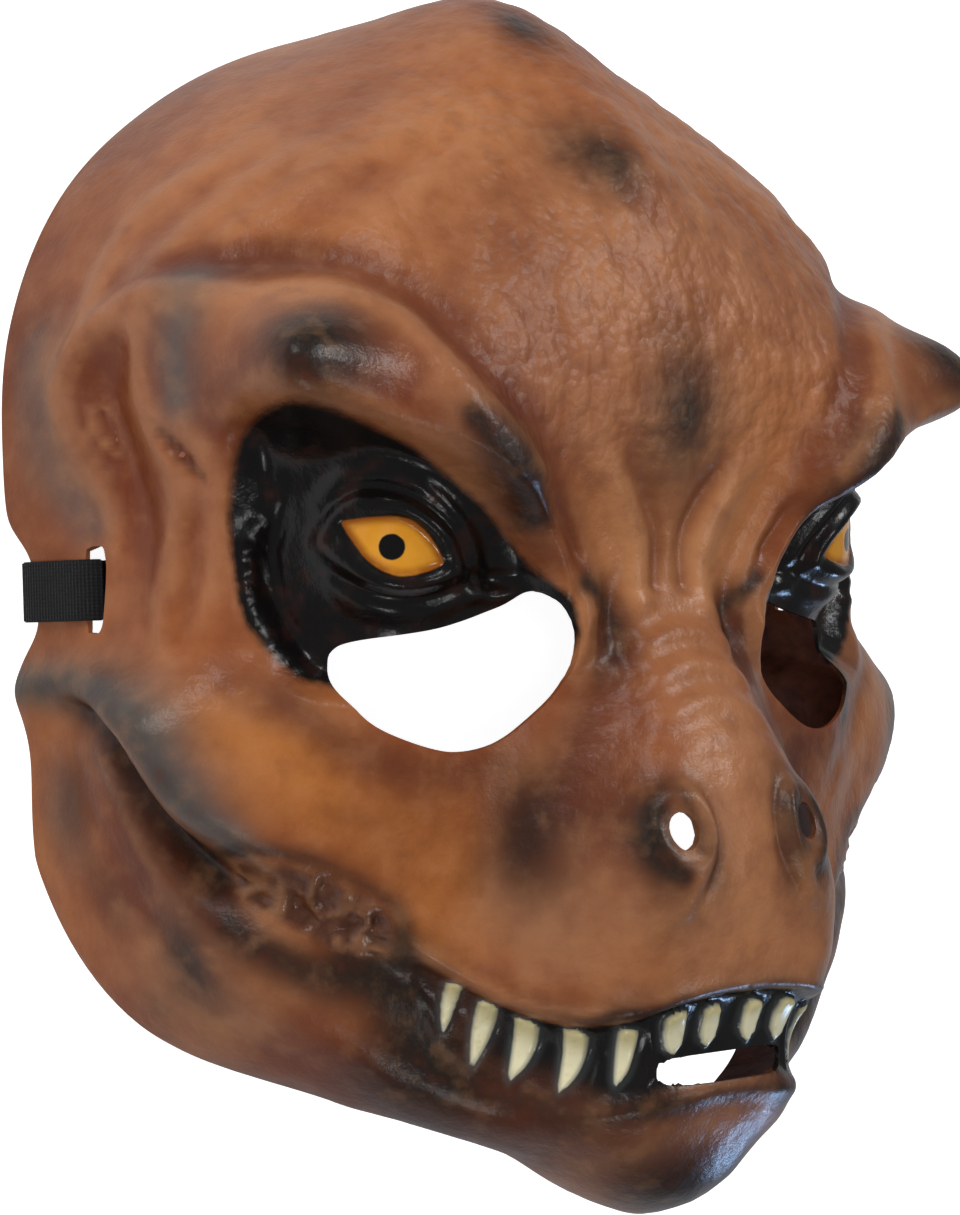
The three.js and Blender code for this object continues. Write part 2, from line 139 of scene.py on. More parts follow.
def smooth_rows(rows: Rows, closed: bool = False, steps: int = 5) -> Array:
    """Points of a smooth curve through rows of numbers.

    Args:
        rows: The curve's knots.
        closed: Whether it runs back to its first knot.
        steps: Points to a stretch.

    Returns:
        The points, one a row.
    """
    p = np.asarray(rows, float)
    n = len(p)
    i = np.arange(n if closed else n - 1)
    knots = [p[(i + k) % n] if closed else p[np.clip(i + k, 0, n - 1)] for k in (-1, 0, 1, 2)]
    parts = [eased(*knots, f) for f in np.arange(steps) / steps]
    points = np.stack(parts, axis=1).reshape(-1, p.shape[1])
    return points if closed else np.vstack([points, p[-1:]])


def nearest(
    curve: Array, a: Array, b: Array, closed: bool = False, reach: float = FAR
) -> tuple[Array, Array]:
    """Distance to a curve, and the curve's row there.

    Args:
        curve: Points whose first two numbers are the place.
        a: Places across.
        b: Places up.
        closed: Whether the curve's last point joins its first.
        reach: Places further than this from the curve's box are left as far.

    Returns:
        The distance of each place, and the row at the nearest point.
    """
    low, high = curve[:, :2].min(0) - reach, curve[:, :2].max(0) + reach
    near = (a > low[0]) & (a < high[0]) & (b > low[1]) & (b < high[1])
    far = np.full(a.shape, FAR)
    row = np.zeros(a.shape + (curve.shape[1],)) + curve[0]
    x, y = a[near], b[near]
    best, found = np.full(x.shape, np.inf), row[near]
    ends = np.vstack([curve, curve[:1]]) if closed else curve
    for p, q in zip(ends[:-1], ends[1:]):
        e = q[:2] - p[:2]
        t = np.clip(((x - p[0]) * e[0] + (y - p[1]) * e[1]) / max(float(e @ e), TINY), 0, 1)
        d = np.hypot(x - p[0] - t * e[0], y - p[1] - t * e[1])
        closer = d < best
        best = np.where(closer, d, best)
        found[closer] = p + t[closer, None] * (q - p)
    far[near], row[near] = best, found
    return far, row


def within(outline: Rows, a: Array, b: Array, reach: float = FAR, steps: int = 5) -> Array:
    """Distance to the edge of a smooth closed outline, positive inside it.

    Args:
        outline: The outline's knots.
        a: Places across.
        b: Places up.
        reach: Places further out than this are left as far.
        steps: Points to a stretch of the outline.

    Returns:
        The signed distance of each place.
    """
    curve = smooth_rows(outline, True, steps)
    inside = np.zeros(a.shape, bool)
    ends = np.vstack([curve, curve[:1]])
    for (xi, yi), (xj, yj) in zip(ends[1:], ends[:-1]):
        if yi != yj:
            inside ^= ((yi > b) != (yj > b)) & (a < (xj - xi) * (b - yi) / (yj - yi) + xi)
    distance = nearest(curve, a, b, True, reach)[0]
    return np.where(inside, distance, -distance)


def scatter(cells: Array, seed: int) -> Array:
    """A number from 0 to 1 for each cell of a lattice, the same on every run.

    Args:
        cells: Whole numbers, three a row.
        seed: Picks another set of numbers.

    Returns:
        One number for each row.
    """
    k = cells.astype(np.int64)
    x, y, z, s, stir, more, last = HASH_STEPS
    early, late = HASH_SHIFTS
    h = k[..., 0] * x + k[..., 1] * y + k[..., 2] * z + seed * s
    h = ((h ^ (h >> early)) * stir) & HASH_MASK
    h = (h ^ (h >> late)) * more + last
    return (h & HASH_BITS) / float(HASH_BITS)


def soft_noise(points: Array, size: float, seed: int = 0) -> Array:
    """Smooth noise from -1 to 1.

    Args:
        points: Places, three numbers a row.
        size: Width of a lump.
        seed: Picks another pattern.

    Returns:
        The noise at each place.
    """
    p = points / size
    cell = np.floor(p)
    f = p - cell
    f = f * f * (3 - 2 * f)
    total = np.zeros(points.shape[:-1])
    for corner in np.ndindex(2, 2, 2):
        weight = np.prod(np.where(np.array(corner) == 1, f, 1 - f), axis=-1)
        total += weight * scatter(cell + corner, seed)
    return 2 * total - 1


def cloudy(points: Array, size: float, seed: int = 0, octaves: int = 3) -> Array:
    """Noise with finer noise on it, from about -1 to 1.

    Args:
        points: Places, three numbers a row.
        size: Width of the largest lumps.
        seed: Picks another pattern.
        octaves: How many sizes are added, each half the last.

    Returns:
        The noise at each place.
    """
    total = np.zeros(points.shape[:-1])
    for k in range(octaves):
        total += soft_noise(points, size / 2**k, seed + SEED_STEP * k) * 0.5**k
    return total / (2 - 0.5 ** (octaves - 1))


def pebbles(points: Array, size: float, seed: int = 0) -> Array:
    """Round lumps side by side, 1 at their tops and 0 in the gaps.

    Args:
        points: Places, three numbers a row.
        size: Width of a lump.
        seed: Picks another pattern.

    Returns:
        The lumps' height at each place.
    """
    p = points / size
    cell = np.floor(p)
    first = np.full(points.shape[:-1], FAR)
    for step in np.ndindex(3, 3, 3):
        c = cell + np.array(step) - 1
        jitter = np.stack([scatter(c, seed + s) for s in (1, 2, 3)], axis=-1)
        away = c + PEBBLE_OFFSET + PEBBLE_JITTER * jitter - p
        first = np.minimum(first, (away**2).sum(-1))
    return np.clip(1 - first / PEBBLE_REACH, 0, 1)


# Forms placed on the skin


@dataclass(frozen=True)
class RoundForm:
    """A round swelling or hollow, placed by distances along the skin."""

    across: float
    up: float
    height: float
    half_across: float
    half_up: float
    turn: float = 0.0
    power: float = 2.0

    def raised(self, a: Array, b: Array) -> Array:
        """The form's height at each place.

        Args:
            a: Distances across.
            b: Distances up.

        Returns:
            The height at each place.
        """
        t = math.radians(self.turn)
        p = ((a - self.across) * math.cos(t) + (b - self.up) * math.sin(t)) / self.half_across
        q = ((b - self.up) * math.cos(t) - (a - self.across) * math.sin(t)) / self.half_up
        return self.height * np.exp(-0.5 * (p * p + q * q) ** (self.power / 2))


@dataclass(frozen=True)
class LongForm:
    """A ridge or groove along a smooth line: rows of across, up, height and half width."""

    rows: Rows
    scallop: float = 0.0
    scallop_length: float = 5.0
    thinnest: float = 0.1
    reach_halves: float = 4.0

    def raised(self, a: Array, b: Array) -> Array:
        """The form's height at each place.

        Args:
            a: Distances across.
            b: Distances up.

        Returns:
            The height at each place.
        """
        curve = smooth_rows(self.rows)
        steps = np.hypot(*np.diff(curve[:, :2], axis=0).T)
        curve = np.column_stack([curve, np.concatenate([[0.0], np.cumsum(steps)])])
        reach = self.reach_halves * max(row[3] for row in self.rows)
        distance, found = nearest(curve, a, b, reach=reach)
        height = found[..., 2]
        if self.scallop:
            wave = np.cos(2 * math.pi * found[..., 4] / self.scallop_length)
            height = height * (1 - self.scallop + self.scallop * wave)
        return height * np.exp(-0.5 * (distance / np.maximum(found[..., 3], self.thinnest)) ** 2)


def ridge(*flat: float, scallop: float = 0.0, scallop_length: float = 5.0) -> LongForm:
    """A ridge or groove from one list: across, up, height and half width of each knot."""
    return LongForm(tuple(zip(*[iter(flat)] * 4)), scallop, scallop_length)


Forms = dict[str, RoundForm | LongForm]


def carved(forms: Forms, a: Array, b: Array) -> Array:
    """The height of several forms together."""
    return sum(form.raised(a, b) for form in forms.values())


# The moulded skin


@dataclass
class Skin:
    """The mask's outer face: a plain dome with a snout, and the forms carved on it."""

    rim_radius: Numbers = (
        129.4, 127.5, 126, 124, 117.5, 108, 101.5, 103, 114, 124.5, 120.8, 119.8, 130.7,
    )
    rim_height: Numbers = (0, 0, 0, 0, 0, 0, 0, 0, 1, 20, 48, 63, 66)
    wall_sharpness: Numbers = (2.9, 2.9, 3, 3.1, 3, 2.9, 2.9, 3.3, 3.6, 4, 6, 12, 24)
    dome_roundness: float = 2.1
    jaw_bulge: float = 3.0
    jaw_bulge_deg: Span = (132, 165)
    jaw_bulge_fade: float = 2.2
    arch_up: float = 3.0
    arch_rise: float = 7.5
    arch_half: float = 12.0
    arch_from_deg: Span = (60, 80)
    arch_to_deg: Span = (130, 110)
    cheek_up: Numbers = (-132, -113, -85, -50, -20, 10, 50, 131)
    cheek_height: Numbers = (84, 86, 84, 88, 90, 93, 103, 100)
    snout_up: Numbers = (-132, -113, -85, -77, -61, -50, -36, -22, -11, 0, 12, 40)
    snout_out: Numbers = (12, 15.5, 24.5, 27, 28, 25.5, 21, 14.5, 8, 1.5, 0.5, 0)
    snout_half: Numbers = (33, 34, 37.5, 39, 37, 33.5, 28, 22.5, 19, 18, 18, 20)
    snout_square: Numbers = (5, 5, 5.5, 6, 6, 5.5, 4.8, 4, 3.5, 3.2, 3.2, 3.2)
    ball_radius: float = 115.0
    ball_depth: float = 20.0
    forms: Forms = field(default_factory=lambda: {
        "crown_peak": RoundForm(0, 134, 5.5, 36, 13),
        "crown_slope": RoundForm(0, 116, 5, 26, 15),
        "forehead_knob": RoundForm(0, 82, 4, 8, 11),
        "brow_horn": RoundForm(79.5, 39.6, 17.5, 7.6, 6.6, 0, 1.6),
        "inner_brow_knob": RoundForm(42, 25, 3.5, 6, 4, 35),
        "temple_hollow": RoundForm(124, 28, -5.5, 8, 19),
        "temple_fold": RoundForm(109, 38, 2.5, 9, 18),
        "cheek_bone": RoundForm(110, -25, 14.5, 14, 11.5),
        "cheek_front": RoundForm(99, -38, 5, 10, 7),
        "eyeball": RoundForm(64, 9, 9, 12, 11, 0, 2.6),
        "jaw_corner": RoundForm(153, -24, 2, 8, 6),
        "brow": ridge(135, 46, 1, 6, 122, 54, 5, 7, 107, 54, 6, 7, 78, 40, 6.5, 7, 54, 33, 8, 8,
            39, 18, 6, 6, 25, -2, 3, 4, 20, -9, 0.5, 3.5),
        "brow_front": ridge(92, 36, 0.8, 4, 82, 34, 1.8, 4, 71, 31.5, 2.3, 4, 60, 29.5, 4, 4.2,
            51, 27, 4, 3.6, 43, 20, 1.5, 3),
        "upper_lip": ridge(157, -19, 2, 4, 141, -17, 3.5, 4.5, 125, -18.5, 4, 4.5, 113.5, -23, 4, 4,
            108, -32, 4, 4, 104, -40, 3.5, 4, 96, -46, 3, 4, 84, -50, 2.5, 4.5, 71, -58, 2.5, 4.5,
            60, -65, 2.5, 4, 48, -69, 2.2, 3.5, 35, -69.5, 2, 3.5, 20, -65.5, 1.6, 3,
            0, -63, 1.3, 3),
        "mouth_groove": ridge(146, -24, -2, 4, 133, -24.5, -4, 3.5, 123.7, -27, -5, 3.5,
            118, -33, -5.5, 3.8, 115, -40, -5.5, 4, 111, -46, -5, 4, 103, -51.5, -4.5, 4,
            90, -57, -3.5, 4.5, 76, -63, -3.5, 4.5, 63, -71, -3, 4, 52, -77.5, -3, 3.5,
            41, -80, -3, 3.5, 28, -77.5, -2.2, 3.2, 15, -73, 0, 3, 0, -72, 0.3, 3),
        "lower_lip": ridge(130, -46, 1.5, 5, 106, -63, 2, 5.5, 82, -76, 2.5, 5.5, 62, -86, 2.5, 5,
            44, -90, 2.5, 4, 28, -87.5, 2.5, 4, 14, -83, 2.2, 4, 0, -82, 2.2, 4),
    })
    eye_socket: Rows = (
        (94, 34), (96, 12), (92, -9), (80, -20), (46, -18), (30, -2), (38, 17), (58, 30), (84, 36),
    )
    socket_depth: float = 7.0
    socket_slope: Span = (-1.5, 6)
    nostril: Span = (15.0, -41.0)
    nostril_ring: float = 4.6
    nostril_thick: float = 1.6
    nostril_height: float = 2.0
    wrinkle_up: float = -15.0
    wrinkle_spacing: float = 6.5
    wrinkle_height: float = 0.55
    wrinkle_half_up: float = 9.0
    wrinkle_half_across: float = 13.0
    wrinkle_bend: float = 0.02

    def plain(self, u: Array, v: Array) -> Array:
        """The skin before carving.

        Args:
            u: Places across, from -1 to 1.
            v: Places up, from -1 to 1.

        Returns:
            A point for each place.
        """
        across = u * np.sqrt(1 - v * v / 2)
        up = v * np.sqrt(1 - u * u / 2)
        angle = np.arctan2(np.abs(across), up)
        degrees = np.degrees(angle)
        out = np.sin(np.minimum(np.hypot(across, up), 1) * math.pi / 2)
        radius = round_rim(self.rim_radius, degrees)
        jaw = smooth_step(*self.jaw_bulge_deg, degrees)
        rise = np.maximum(0, 1 - out ** round_rim(self.wall_sharpness, degrees))
        rise = rise ** (1 / self.dome_roundness)
        r = radius * out
        r = r + self.jaw_bulge * jaw * out**3 * np.minimum(1, rise * self.jaw_bulge_fade)
        x = r * np.sin(angle) * np.sign(across)
        y = r * np.cos(angle)
        arch = np.exp(-(((radius * np.cos(angle) - self.arch_up) / self.arch_half) ** 4))
        arch = self.arch_rise * arch * smooth_step(*self.arch_from_deg, degrees)
        arch = arch * smooth_step(*self.arch_to_deg, degrees)
        rim = np.maximum(0, round_rim(self.rim_height, degrees)) + arch
        half, out_by, square = (
            through(self.snout_up, values, y)
            for values in (self.snout_half, self.snout_out, self.snout_square)
        )
        snout = out_by * np.exp(-((np.abs(x) / half) ** square))
        front = through(self.cheek_up, self.cheek_height, y) + snout
        return np.stack([x, y, rim + (front - rim) * rise], axis=-1)

    def along(self, points: Array) -> tuple[Array, Array]:
        """Distances along the skin, across from the middle and up from the eyes.

        Args:
            points: Points on the plain skin.

        Returns:
            The two distances of each point.
        """
        x, y, z = points[..., 0], points[..., 1], points[..., 2] + self.ball_depth
        a = self.ball_radius * np.arctan2(np.abs(x), z)
        return a, self.ball_radius * np.arcsin(y / np.sqrt(x**2 + y**2 + z**2))

    def square_to(self, u: Array, v: Array, step: float = 1e-3) -> Array:
        """Unit vectors square to the plain skin.

        Args:
            u: Places across.
            v: Places up.
            step: How far to look to each side.

        Returns:
            A vector for each place.
        """
        uc, vc = np.clip(u, step - 1, 1 - step), np.clip(v, step - 1, 1 - step)
        du = self.plain(uc + step, vc) - self.plain(uc - step, vc)
        dv = self.plain(uc, vc + step) - self.plain(uc, vc - step)
        return unit(np.cross(du, dv))

    def carving(self, a: Array, b: Array) -> Array:
        """Height of the main forms over the plain skin.

        Args:
            a: Distances across.
            b: Distances up.

        Returns:
            The height at each place.
        """
        socket = within(self.eye_socket, a, b)
        height = carved(self.forms, a, b)
        height = height - self.socket_depth * smooth_step(*self.socket_slope, socket)
        ring = np.hypot(a - self.nostril[0], b - self.nostril[1]) - self.nostril_ring
        height = height + self.nostril_height * np.exp(-0.5 * (ring / self.nostril_thick) ** 2)
        away = ((b - self.wrinkle_up) / self.wrinkle_half_up) ** 2
        away = away + (a / self.wrinkle_half_across) ** 2
        turn = (b - self.wrinkle_up + self.wrinkle_bend * a * a) / self.wrinkle_spacing
        return height + self.wrinkle_height * np.exp(-0.5 * away) * np.cos(2 * math.pi * turn)


@dataclass(frozen=True)
class Tooth:
    """One fang: its root and tip as distances across and up, and its half width at the root."""

    root_across: float
    root_up: float
    tip_across: float
    tip_up: float
    half: float
    bend: float = 0.9
    blunt: float = 2.4
    bend_from: float = 0.25
    root_past: float = 0.04
    root_taper: float = 2.0
    fullness: float = 0.62
    tip_taper: float = 1.4

    def edge(self, a: Array, b: Array) -> tuple[Array, Array]:
        """Distance to the tooth's outline, and how far along it a place is.

        Args:
            a: Distances across.
            b: Distances up.

        Returns:
            The distance, positive inside, and the share of the length from the root.
        """
        e = np.array([self.tip_across - self.root_across, self.tip_up - self.root_up])
        long = float(np.hypot(*e))
        e = e / long
        x = (a - self.root_across) * e[0] + (b - self.root_up) * e[1]
        y = (a - self.root_across) * -e[1] + (b - self.root_up) * e[0]
        t = np.clip(x / long, -self.root_past, 1.0)
        y = y - self.bend * (t**3 - self.bend_from)
        half = self.half * (1 - np.clip(t, 0, 1) ** self.blunt) ** self.fullness
        beyond = np.maximum(x - long, 0)
        beyond = beyond + np.maximum(-self.root_past * long - x, 0) * self.root_taper
        return half - np.hypot(y, beyond * self.tip_taper), np.clip(x / long, 0, 1)


@dataclass
class Relief:
    """The finer moulding over the main forms: folds, lids, gums, scales and the teeth."""

    folds: Forms = field(default_factory=lambda: {
        "upper_lid": ridge(79, 12, 0.8, 1.2, 75.3, 16.4, 1.5, 1.3, 69.6, 18, 1.9, 1.4,
            62.4, 16.8, 1.9, 1.4, 55.2, 11.2, 1.7, 1.3, 51.5, 4.5, 1.2, 1.2, 49, 1, 0.4, 1.2),
        "upper_lid_gap": ridge(78, 16, -0.5, 0.8, 72, 20, -1, 0.9, 62, 18.9, -1.1, 0.9,
            54, 13, -1, 0.9, 49.5, 6, -0.6, 0.8),
        "upper_lid_fold": ridge(80, 17, 0.5, 1.4, 74.3, 21.8, 1.4, 1.5, 66.6, 22.6, 1.6, 1.6,
            59, 19.6, 1.6, 1.6, 52, 13.2, 1.4, 1.5, 47, 6, 1.2, 1.4, 45, 0.5, 0.5, 1.4),
        "lower_lid": ridge(80, 10.5, 0.6, 1.2, 75, 6.4, 1.2, 1.3, 70, 3.3, 1.5, 1.3,
            64, 1.9, 1.6, 1.4, 58, 2.2, 1.5, 1.3, 52.5, 3.6, 1, 1.2),
        "lower_lid_gap": ridge(76, 3.2, -0.6, 0.9, 70, 0.6, -0.8, 1, 64, -0.8, -0.9, 1,
            57, -0.6, -0.8, 1, 51, 1, -0.4, 0.9),
        "lower_lid_bag": ridge(77, 1.5, 0.5, 1.6, 71, -2.4, 0.9, 1.8, 64, -4.2, 1, 1.9,
            56, -4, 0.8, 1.7, 48, -1.6, 0.5, 1.6),
        "socket_frill": ridge(88.5, 21.5, 0.5, 1.1, 91.4, 16, 1.5, 1.2, 93.6, 10.6, 1.7, 1.2,
            94.4, 5, 1.8, 1.2, 93.8, -0.6, 1.8, 1.2, 91.2, -6.2, 1.7, 1.2, 87.4, -11.6, 1.4, 1.2,
            81.5, -15.6, 0.7, 1.2, scallop=0.22, scallop_length=4.4),
        "socket_gutter": ridge(87, 17, -0.4, 1.3, 90.3, 10, -1.1, 1.4, 91, 3, -1.2, 1.4,
            89.2, -4, -1.1, 1.4, 84.8, -10, -0.7, 1.3),
        "eye_corner_fold": ridge(47, -1, 0.8, 1.3, 41, -1.4, 1.2, 1.3, 36, -0.6, 0.9, 1.3,
            31, 0.5, 0.4, 1.2),
        "eye_corner_gap": ridge(48, 2.6, -0.7, 1.1, 42, 2, -1, 1.2, 36, 2.4, -0.7, 1.2),
        "brow_edge": ridge(95, 52.5, 0.6, 2, 89.6, 53, 1, 2, 75.4, 52.6, 1.3, 2, 63.4, 48, 1.4, 2,
            57.3, 41.6, 1.4, 1.9, 51.4, 35, 1.3, 1.8, 44.6, 29.5, 1.1, 1.7, 32, 18, 0.9, 1.7,
            24, 6, 0.8, 1.6, 19.5, -5, 0.5, 1.5),
        "brow_valley": ridge(120, 61, -0.8, 3, 100, 60.5, -1.5, 3, 78, 59.5, -1.7, 3,
            64, 54, -1.6, 2.8, 54, 46, -1.6, 2.6, 44, 37, -1.4, 2.2, 34, 26, -1.1, 1.8),
        "socket_edge": ridge(95, 34, 0.5, 1.3, 88, 36, 0.9, 1.4, 74, 35.2, 0.9, 1.4,
            60.3, 28.4, 0.9, 1.3, 47, 19, 0.7, 1.3),
        "brow_inner_crease": ridge(38, 22, -0.6, 1.3, 31, 14, -1.1, 1.5, 25, 5, -1.2, 1.5,
            21, -3, -0.8, 1.3),
        "brow_crease": ridge(56, 44, -0.5, 1.8, 45, 34, -1, 1.8, 35, 22, -1.2, 1.8,
            27, 8, -1.1, 1.6),
        "frown_crease": ridge(4, 1, -0.9, 1.4, 3.6, 10, -1.2, 1.5, 7.3, 18, -1.3, 1.6,
            12.5, 25, -0.7, 1.7),
        "frown_fold": ridge(9, -2, 1, 2, 9.5, 8, 1.3, 2.2, 14, 17, 1.3, 2.3, 21, 27, 0.6, 2.5),
        "bridge_side": ridge(18.5, -5, -0.8, 2.2, 17.5, -14.4, -1.1, 2.4, 19, -22, -1, 2.6,
            22.5, -30, -0.8, 3, 28, -38, -0.4, 3.5),
        "tear_fold": ridge(27, -17, 0.8, 1.4, 24.6, -11, 1.6, 1.6, 26.5, -6, 0.9, 1.5),
        "temple_loop": ridge(95, 56, 0.8, 2.6, 106, 55.5, 1.5, 2.4, 118, 55, 2, 2.3,
            130, 52, 2.2, 2.3, 137, 45.5, 2.3, 2.2, 137.6, 39, 2.2, 2, 133, 30.5, 1.9, 1.9,
            128.5, 21, 1.5, 1.8, 126.5, 11, 0.8, 1.8),
        "temple_bowl": ridge(121, 48, -1.6, 3.5, 127, 43, -2.4, 3.4, 127.5, 36, -2.6, 3.3,
            122.5, 28, -2.6, 3.1, 118, 18, -2.2, 3, 116.5, 8, -1.2, 3, 115, 0, -0.5, 3),
        "temple_inner_ridge": ridge(113, 50, 0.6, 2.2, 115.9, 41.2, 1.6, 2.2, 112, 33, 1.8, 2,
            108.1, 26, 1.7, 2, 106.9, 19.1, 1.5, 2, 109.1, 11, 1.2, 2, 110, 2, 0.5, 2),
        "temple_crease": ridge(113, 36, -0.3, 0.8, 111.6, 34.3, -1.1, 0.8, 106, 29, -1.4, 0.8,
            101.4, 23.8, -1.1, 0.8, 99.4, 21, -0.3, 0.8),
        "temple_fold_right": ridge(104, 33, 0.5, 1.7, 101, 27.5, 1.3, 1.7, 98.6, 20, 1.4, 1.7,
            98.4, 12, 1.3, 1.6, 100.4, 4, 0.9, 1.6, 103, -3, 0.4, 1.5),
        "temple_pleat": ridge(105, 15, -0.4, 1.3, 104.6, 8, -1.1, 1.4, 105.6, 1, -1.2, 1.4,
            107, -6, -0.5, 1.4),
        "temple_low_fold": ridge(113.5, 9, 0.5, 1.5, 113.5, 1, 1, 1.6, 111, -7, 0.8, 1.6,
            107, -12, 0.3, 1.5),
        "ear_lip": ridge(131.6, 40, 0.5, 0.8, 129.3, 40.2, 1.1, 0.8, 126.9, 37, 1.2, 0.8,
            125.8, 33, 1.1, 0.8, 127, 30.6, 0.8, 0.8, 129.2, 33, 1, 0.8, 131.2, 36.6, 1.1, 0.8,
            131.6, 40, 0.5, 0.8),
        "cheek_crease": ridge(100, -13, -0.5, 1.8, 92.3, -19.7, -0.9, 2, 85.4, -24, -0.9, 2.1,
            77, -31, -0.9, 2.4, 65, -37, -0.7, 2.6, 57, -45, -0.4, 3),
        "mouth_corner": ridge(139, -22.6, -0.8, 1.6, 128, -23.4, -1.4, 1.7, 121, -28, -1.8, 1.7,
            116.6, -35, -2, 1.8, 113.6, -42, -2, 1.8, 108, -48.6, -1.7, 1.8, 100, -53.4, -1, 1.6),
        "mouth_corner_fold": ridge(127, -31, 0.6, 1.9, 122.6, -38, 1.3, 1.9, 119.4, -46, 1.4, 1.9,
            113, -54, 1.2, 1.9, 104, -60, 0.8, 1.8, 92, -66, 0.4, 1.8),
        "cheek_pleat": ridge(134, -20.4, 0.6, 1.3, 122.6, -21.6, 1, 1.3, 114.6, -27, 1, 1.3,
            111.4, -34.6, 0.9, 1.3, 107.4, -42.6, 0.6, 1.3),
        "jaw_crease": ridge(139, -34, -0.5, 2.2, 132, -46, -0.9, 2.4, 122, -57, -0.8, 2.6,
            110, -68, -0.4, 2.8),
        "nostril_arc": ridge(12.6, -34.5, 0.6, 0.9, 10.2, -38.5, 1.2, 0.9, 9.8, -43, 1.2, 0.9,
            12.4, -47.4, 0.8, 0.9),
        "nostril_arc_gap": ridge(9.4, -35.6, -0.4, 0.8, 7.6, -40, -0.8, 0.8, 8, -45, -0.8, 0.8,
            11.6, -50, -0.4, 0.8),
        "nostril_tail": ridge(13.5, -48.6, 0.9, 1, 15.6, -51.5, 0.9, 1.1, 19, -53, 0.4, 1.2),
        "lip_edge": ridge(64, -63.5, 0.4, 1.1, 57.5, -67.4, 1, 1, 49.5, -70.8, 1.3, 1,
            41.2, -72.4, 1.3, 1, 33, -71.4, 1.3, 1, 24, -68, 1.3, 1, 16.5, -65.2, 1.3, 1,
            8, -64.4, 1.3, 1, 0, -64.4, 1.3, 1),
        "low_gum_edge": ridge(38, -88, 0.2, 1.2, 30.4, -86.4, 0.8, 1.2, 22.7, -83, 1.2, 1.2,
            13.3, -80.6, 1.3, 1.1, 0, -79.8, 1.3, 1.1),
        "crown_streak_one": ridge(134, 50, 0.3, 2.4, 128.4, 61.6, 0.9, 2.6, 122.4, 73.4, 1, 2.6,
            112, 80.1, 0.9, 2.6, 103, 85.2, 0.7, 2.6, 92, 90.2, 0.3, 2.6),
        "crown_streak_two": ridge(115.5, 59, 0.2, 2.2, 110.3, 64, 0.8, 2.4, 103.6, 71.3, 0.9, 2.4,
            93, 77.8, 0.9, 2.4, 79.7, 85.7, 0.7, 2.4, 64.5, 93.3, 0.3, 2.4),
        "crown_streak_three": ridge(100.4, 62, 0.2, 2.1, 95.9, 67, 0.7, 2.2, 85.9, 74, 0.8, 2.3,
            73, 82, 0.8, 2.3, 56, 90, 0.4, 2.3),
        "crown_streak_four": ridge(78, 62, 0.2, 2, 66, 68, 0.6, 2.2, 54.6, 76, 0.7, 2.2,
            41.3, 84, 0.6, 2.2, 24, 92, 0.3, 2.2),
        "gum_wrinkle_one": ridge(28.5, -83, 0.3, 0.7, 27, -80.6, 0.9, 0.7, 26.6, -77, 0.3, 0.7),
        "gum_wrinkle_two": ridge(20, -80.6, 0.4, 0.7, 18.4, -78, 0.9, 0.7, 17.6, -74, 0.8, 0.7,
            18.6, -71, 0.3, 0.7),
        "tear_lobe": RoundForm(23.6, -8.4, 1.7, 2.6, 5, 8),
        "tear_hollow": RoundForm(16.6, -7.4, -2.2, 2.4, 5.6, 0),
        "brow_inner_lump": RoundForm(50, 31, 1.3, 7, 3.5, 38),
        "lip_swell": RoundForm(30, -58, 1.2, 18, 7),
        "chin_boss": RoundForm(0, -93, 1.6, 14, 8),
        "jowl": RoundForm(105, -66, 1.6, 14, 9, -35),
        "nose_boss": RoundForm(0, -36, 1.2, 6, 9),
        "cheek_dent": RoundForm(70, -50, -1.6, 10, 8, -30),
    })
    teeth: tuple[Tooth, ...] = (
        Tooth(54.6, -71.6, 55.8, -79.2, 2.0), Tooth(47.6, -74.6, 49.4, -84.2, 2.35, 1.7),
        Tooth(40.4, -75.9, 41.2, -85.2, 2.45, 1.8), Tooth(32.0, -74.6, 32.0, -84.0, 2.4, 1.7),
        Tooth(23.2, -71.8, 23.0, -80.4, 2.15, 1.3), Tooth(14.3, -69.0, 13.0, -74.6, 2.7, 0.3, 5.0),
        Tooth(5.4, -68.8, 5.0, -74.2, 2.6, 0.2, 5.0),
    )
    tooth_wall: Span = (-0.05, 0.4)
    tooth_height: float = 1.7
    tooth_thins: float = 0.45
    tooth_shoulder: float = 1.5
    shoulder_thins: float = 0.6
    shoulder_least: float = 0.5
    gum: Rows = (
        (63, -67.5), (57.5, -69), (49.5, -72.6), (41.2, -74.2), (33, -73.2), (24, -69.8),
            (16.5, -66.6), (8, -65.8), (0, -65.8), (-4, -65.8), (-4, -78.4), (0, -78.4),
            (13.3, -79), (19, -80.6), (26, -83), (32.6, -85), (40, -86.2), (48.6, -85.4),
            (55, -82.6), (60, -77),
    )
    gum_depth: float = 1.1
    gum_wall: Span = (-0.6, 1.4)
    gum_top: Span = (-0.4, 0.5)
    gum_calm: Span = (-2, 1)
    gum_low_across: Numbers = (0, 13.3, 19, 26, 32.6, 40, 48.6, 55, 60)
    gum_low_up: Numbers = (-80.2, -80.8, -82.2, -84.4, -86, -87.2, -86.8, -84, -80)
    gum_soft_from: Span = (20, 36)
    gum_fade: Span = (2.4, 4.2)
    gum_tail: float = 0.65
    gum_tail_from: Span = (42, 56)
    patch: Rows = (
        (100, -52), (95.4, -49), (89.2, -49.3), (83, -50.5), (76.5, -52.9), (70.8, -56.4),
            (67.6, -60.9), (68.6, -65.8), (76, -65.2), (84.4, -62.4), (92.4, -58.6), (98.5, -56),
    )
    patch_wall: Span = (-1, 2)
    patch_rise: float = 1.3
    patch_drop: float = 0.5
    crinkle_size: float = 4.4
    crinkle_depth: float = 2.6
    crinkle_stretch: Place = (1.0, 1.0, 0.7)
    crinkle_seed: int = 31
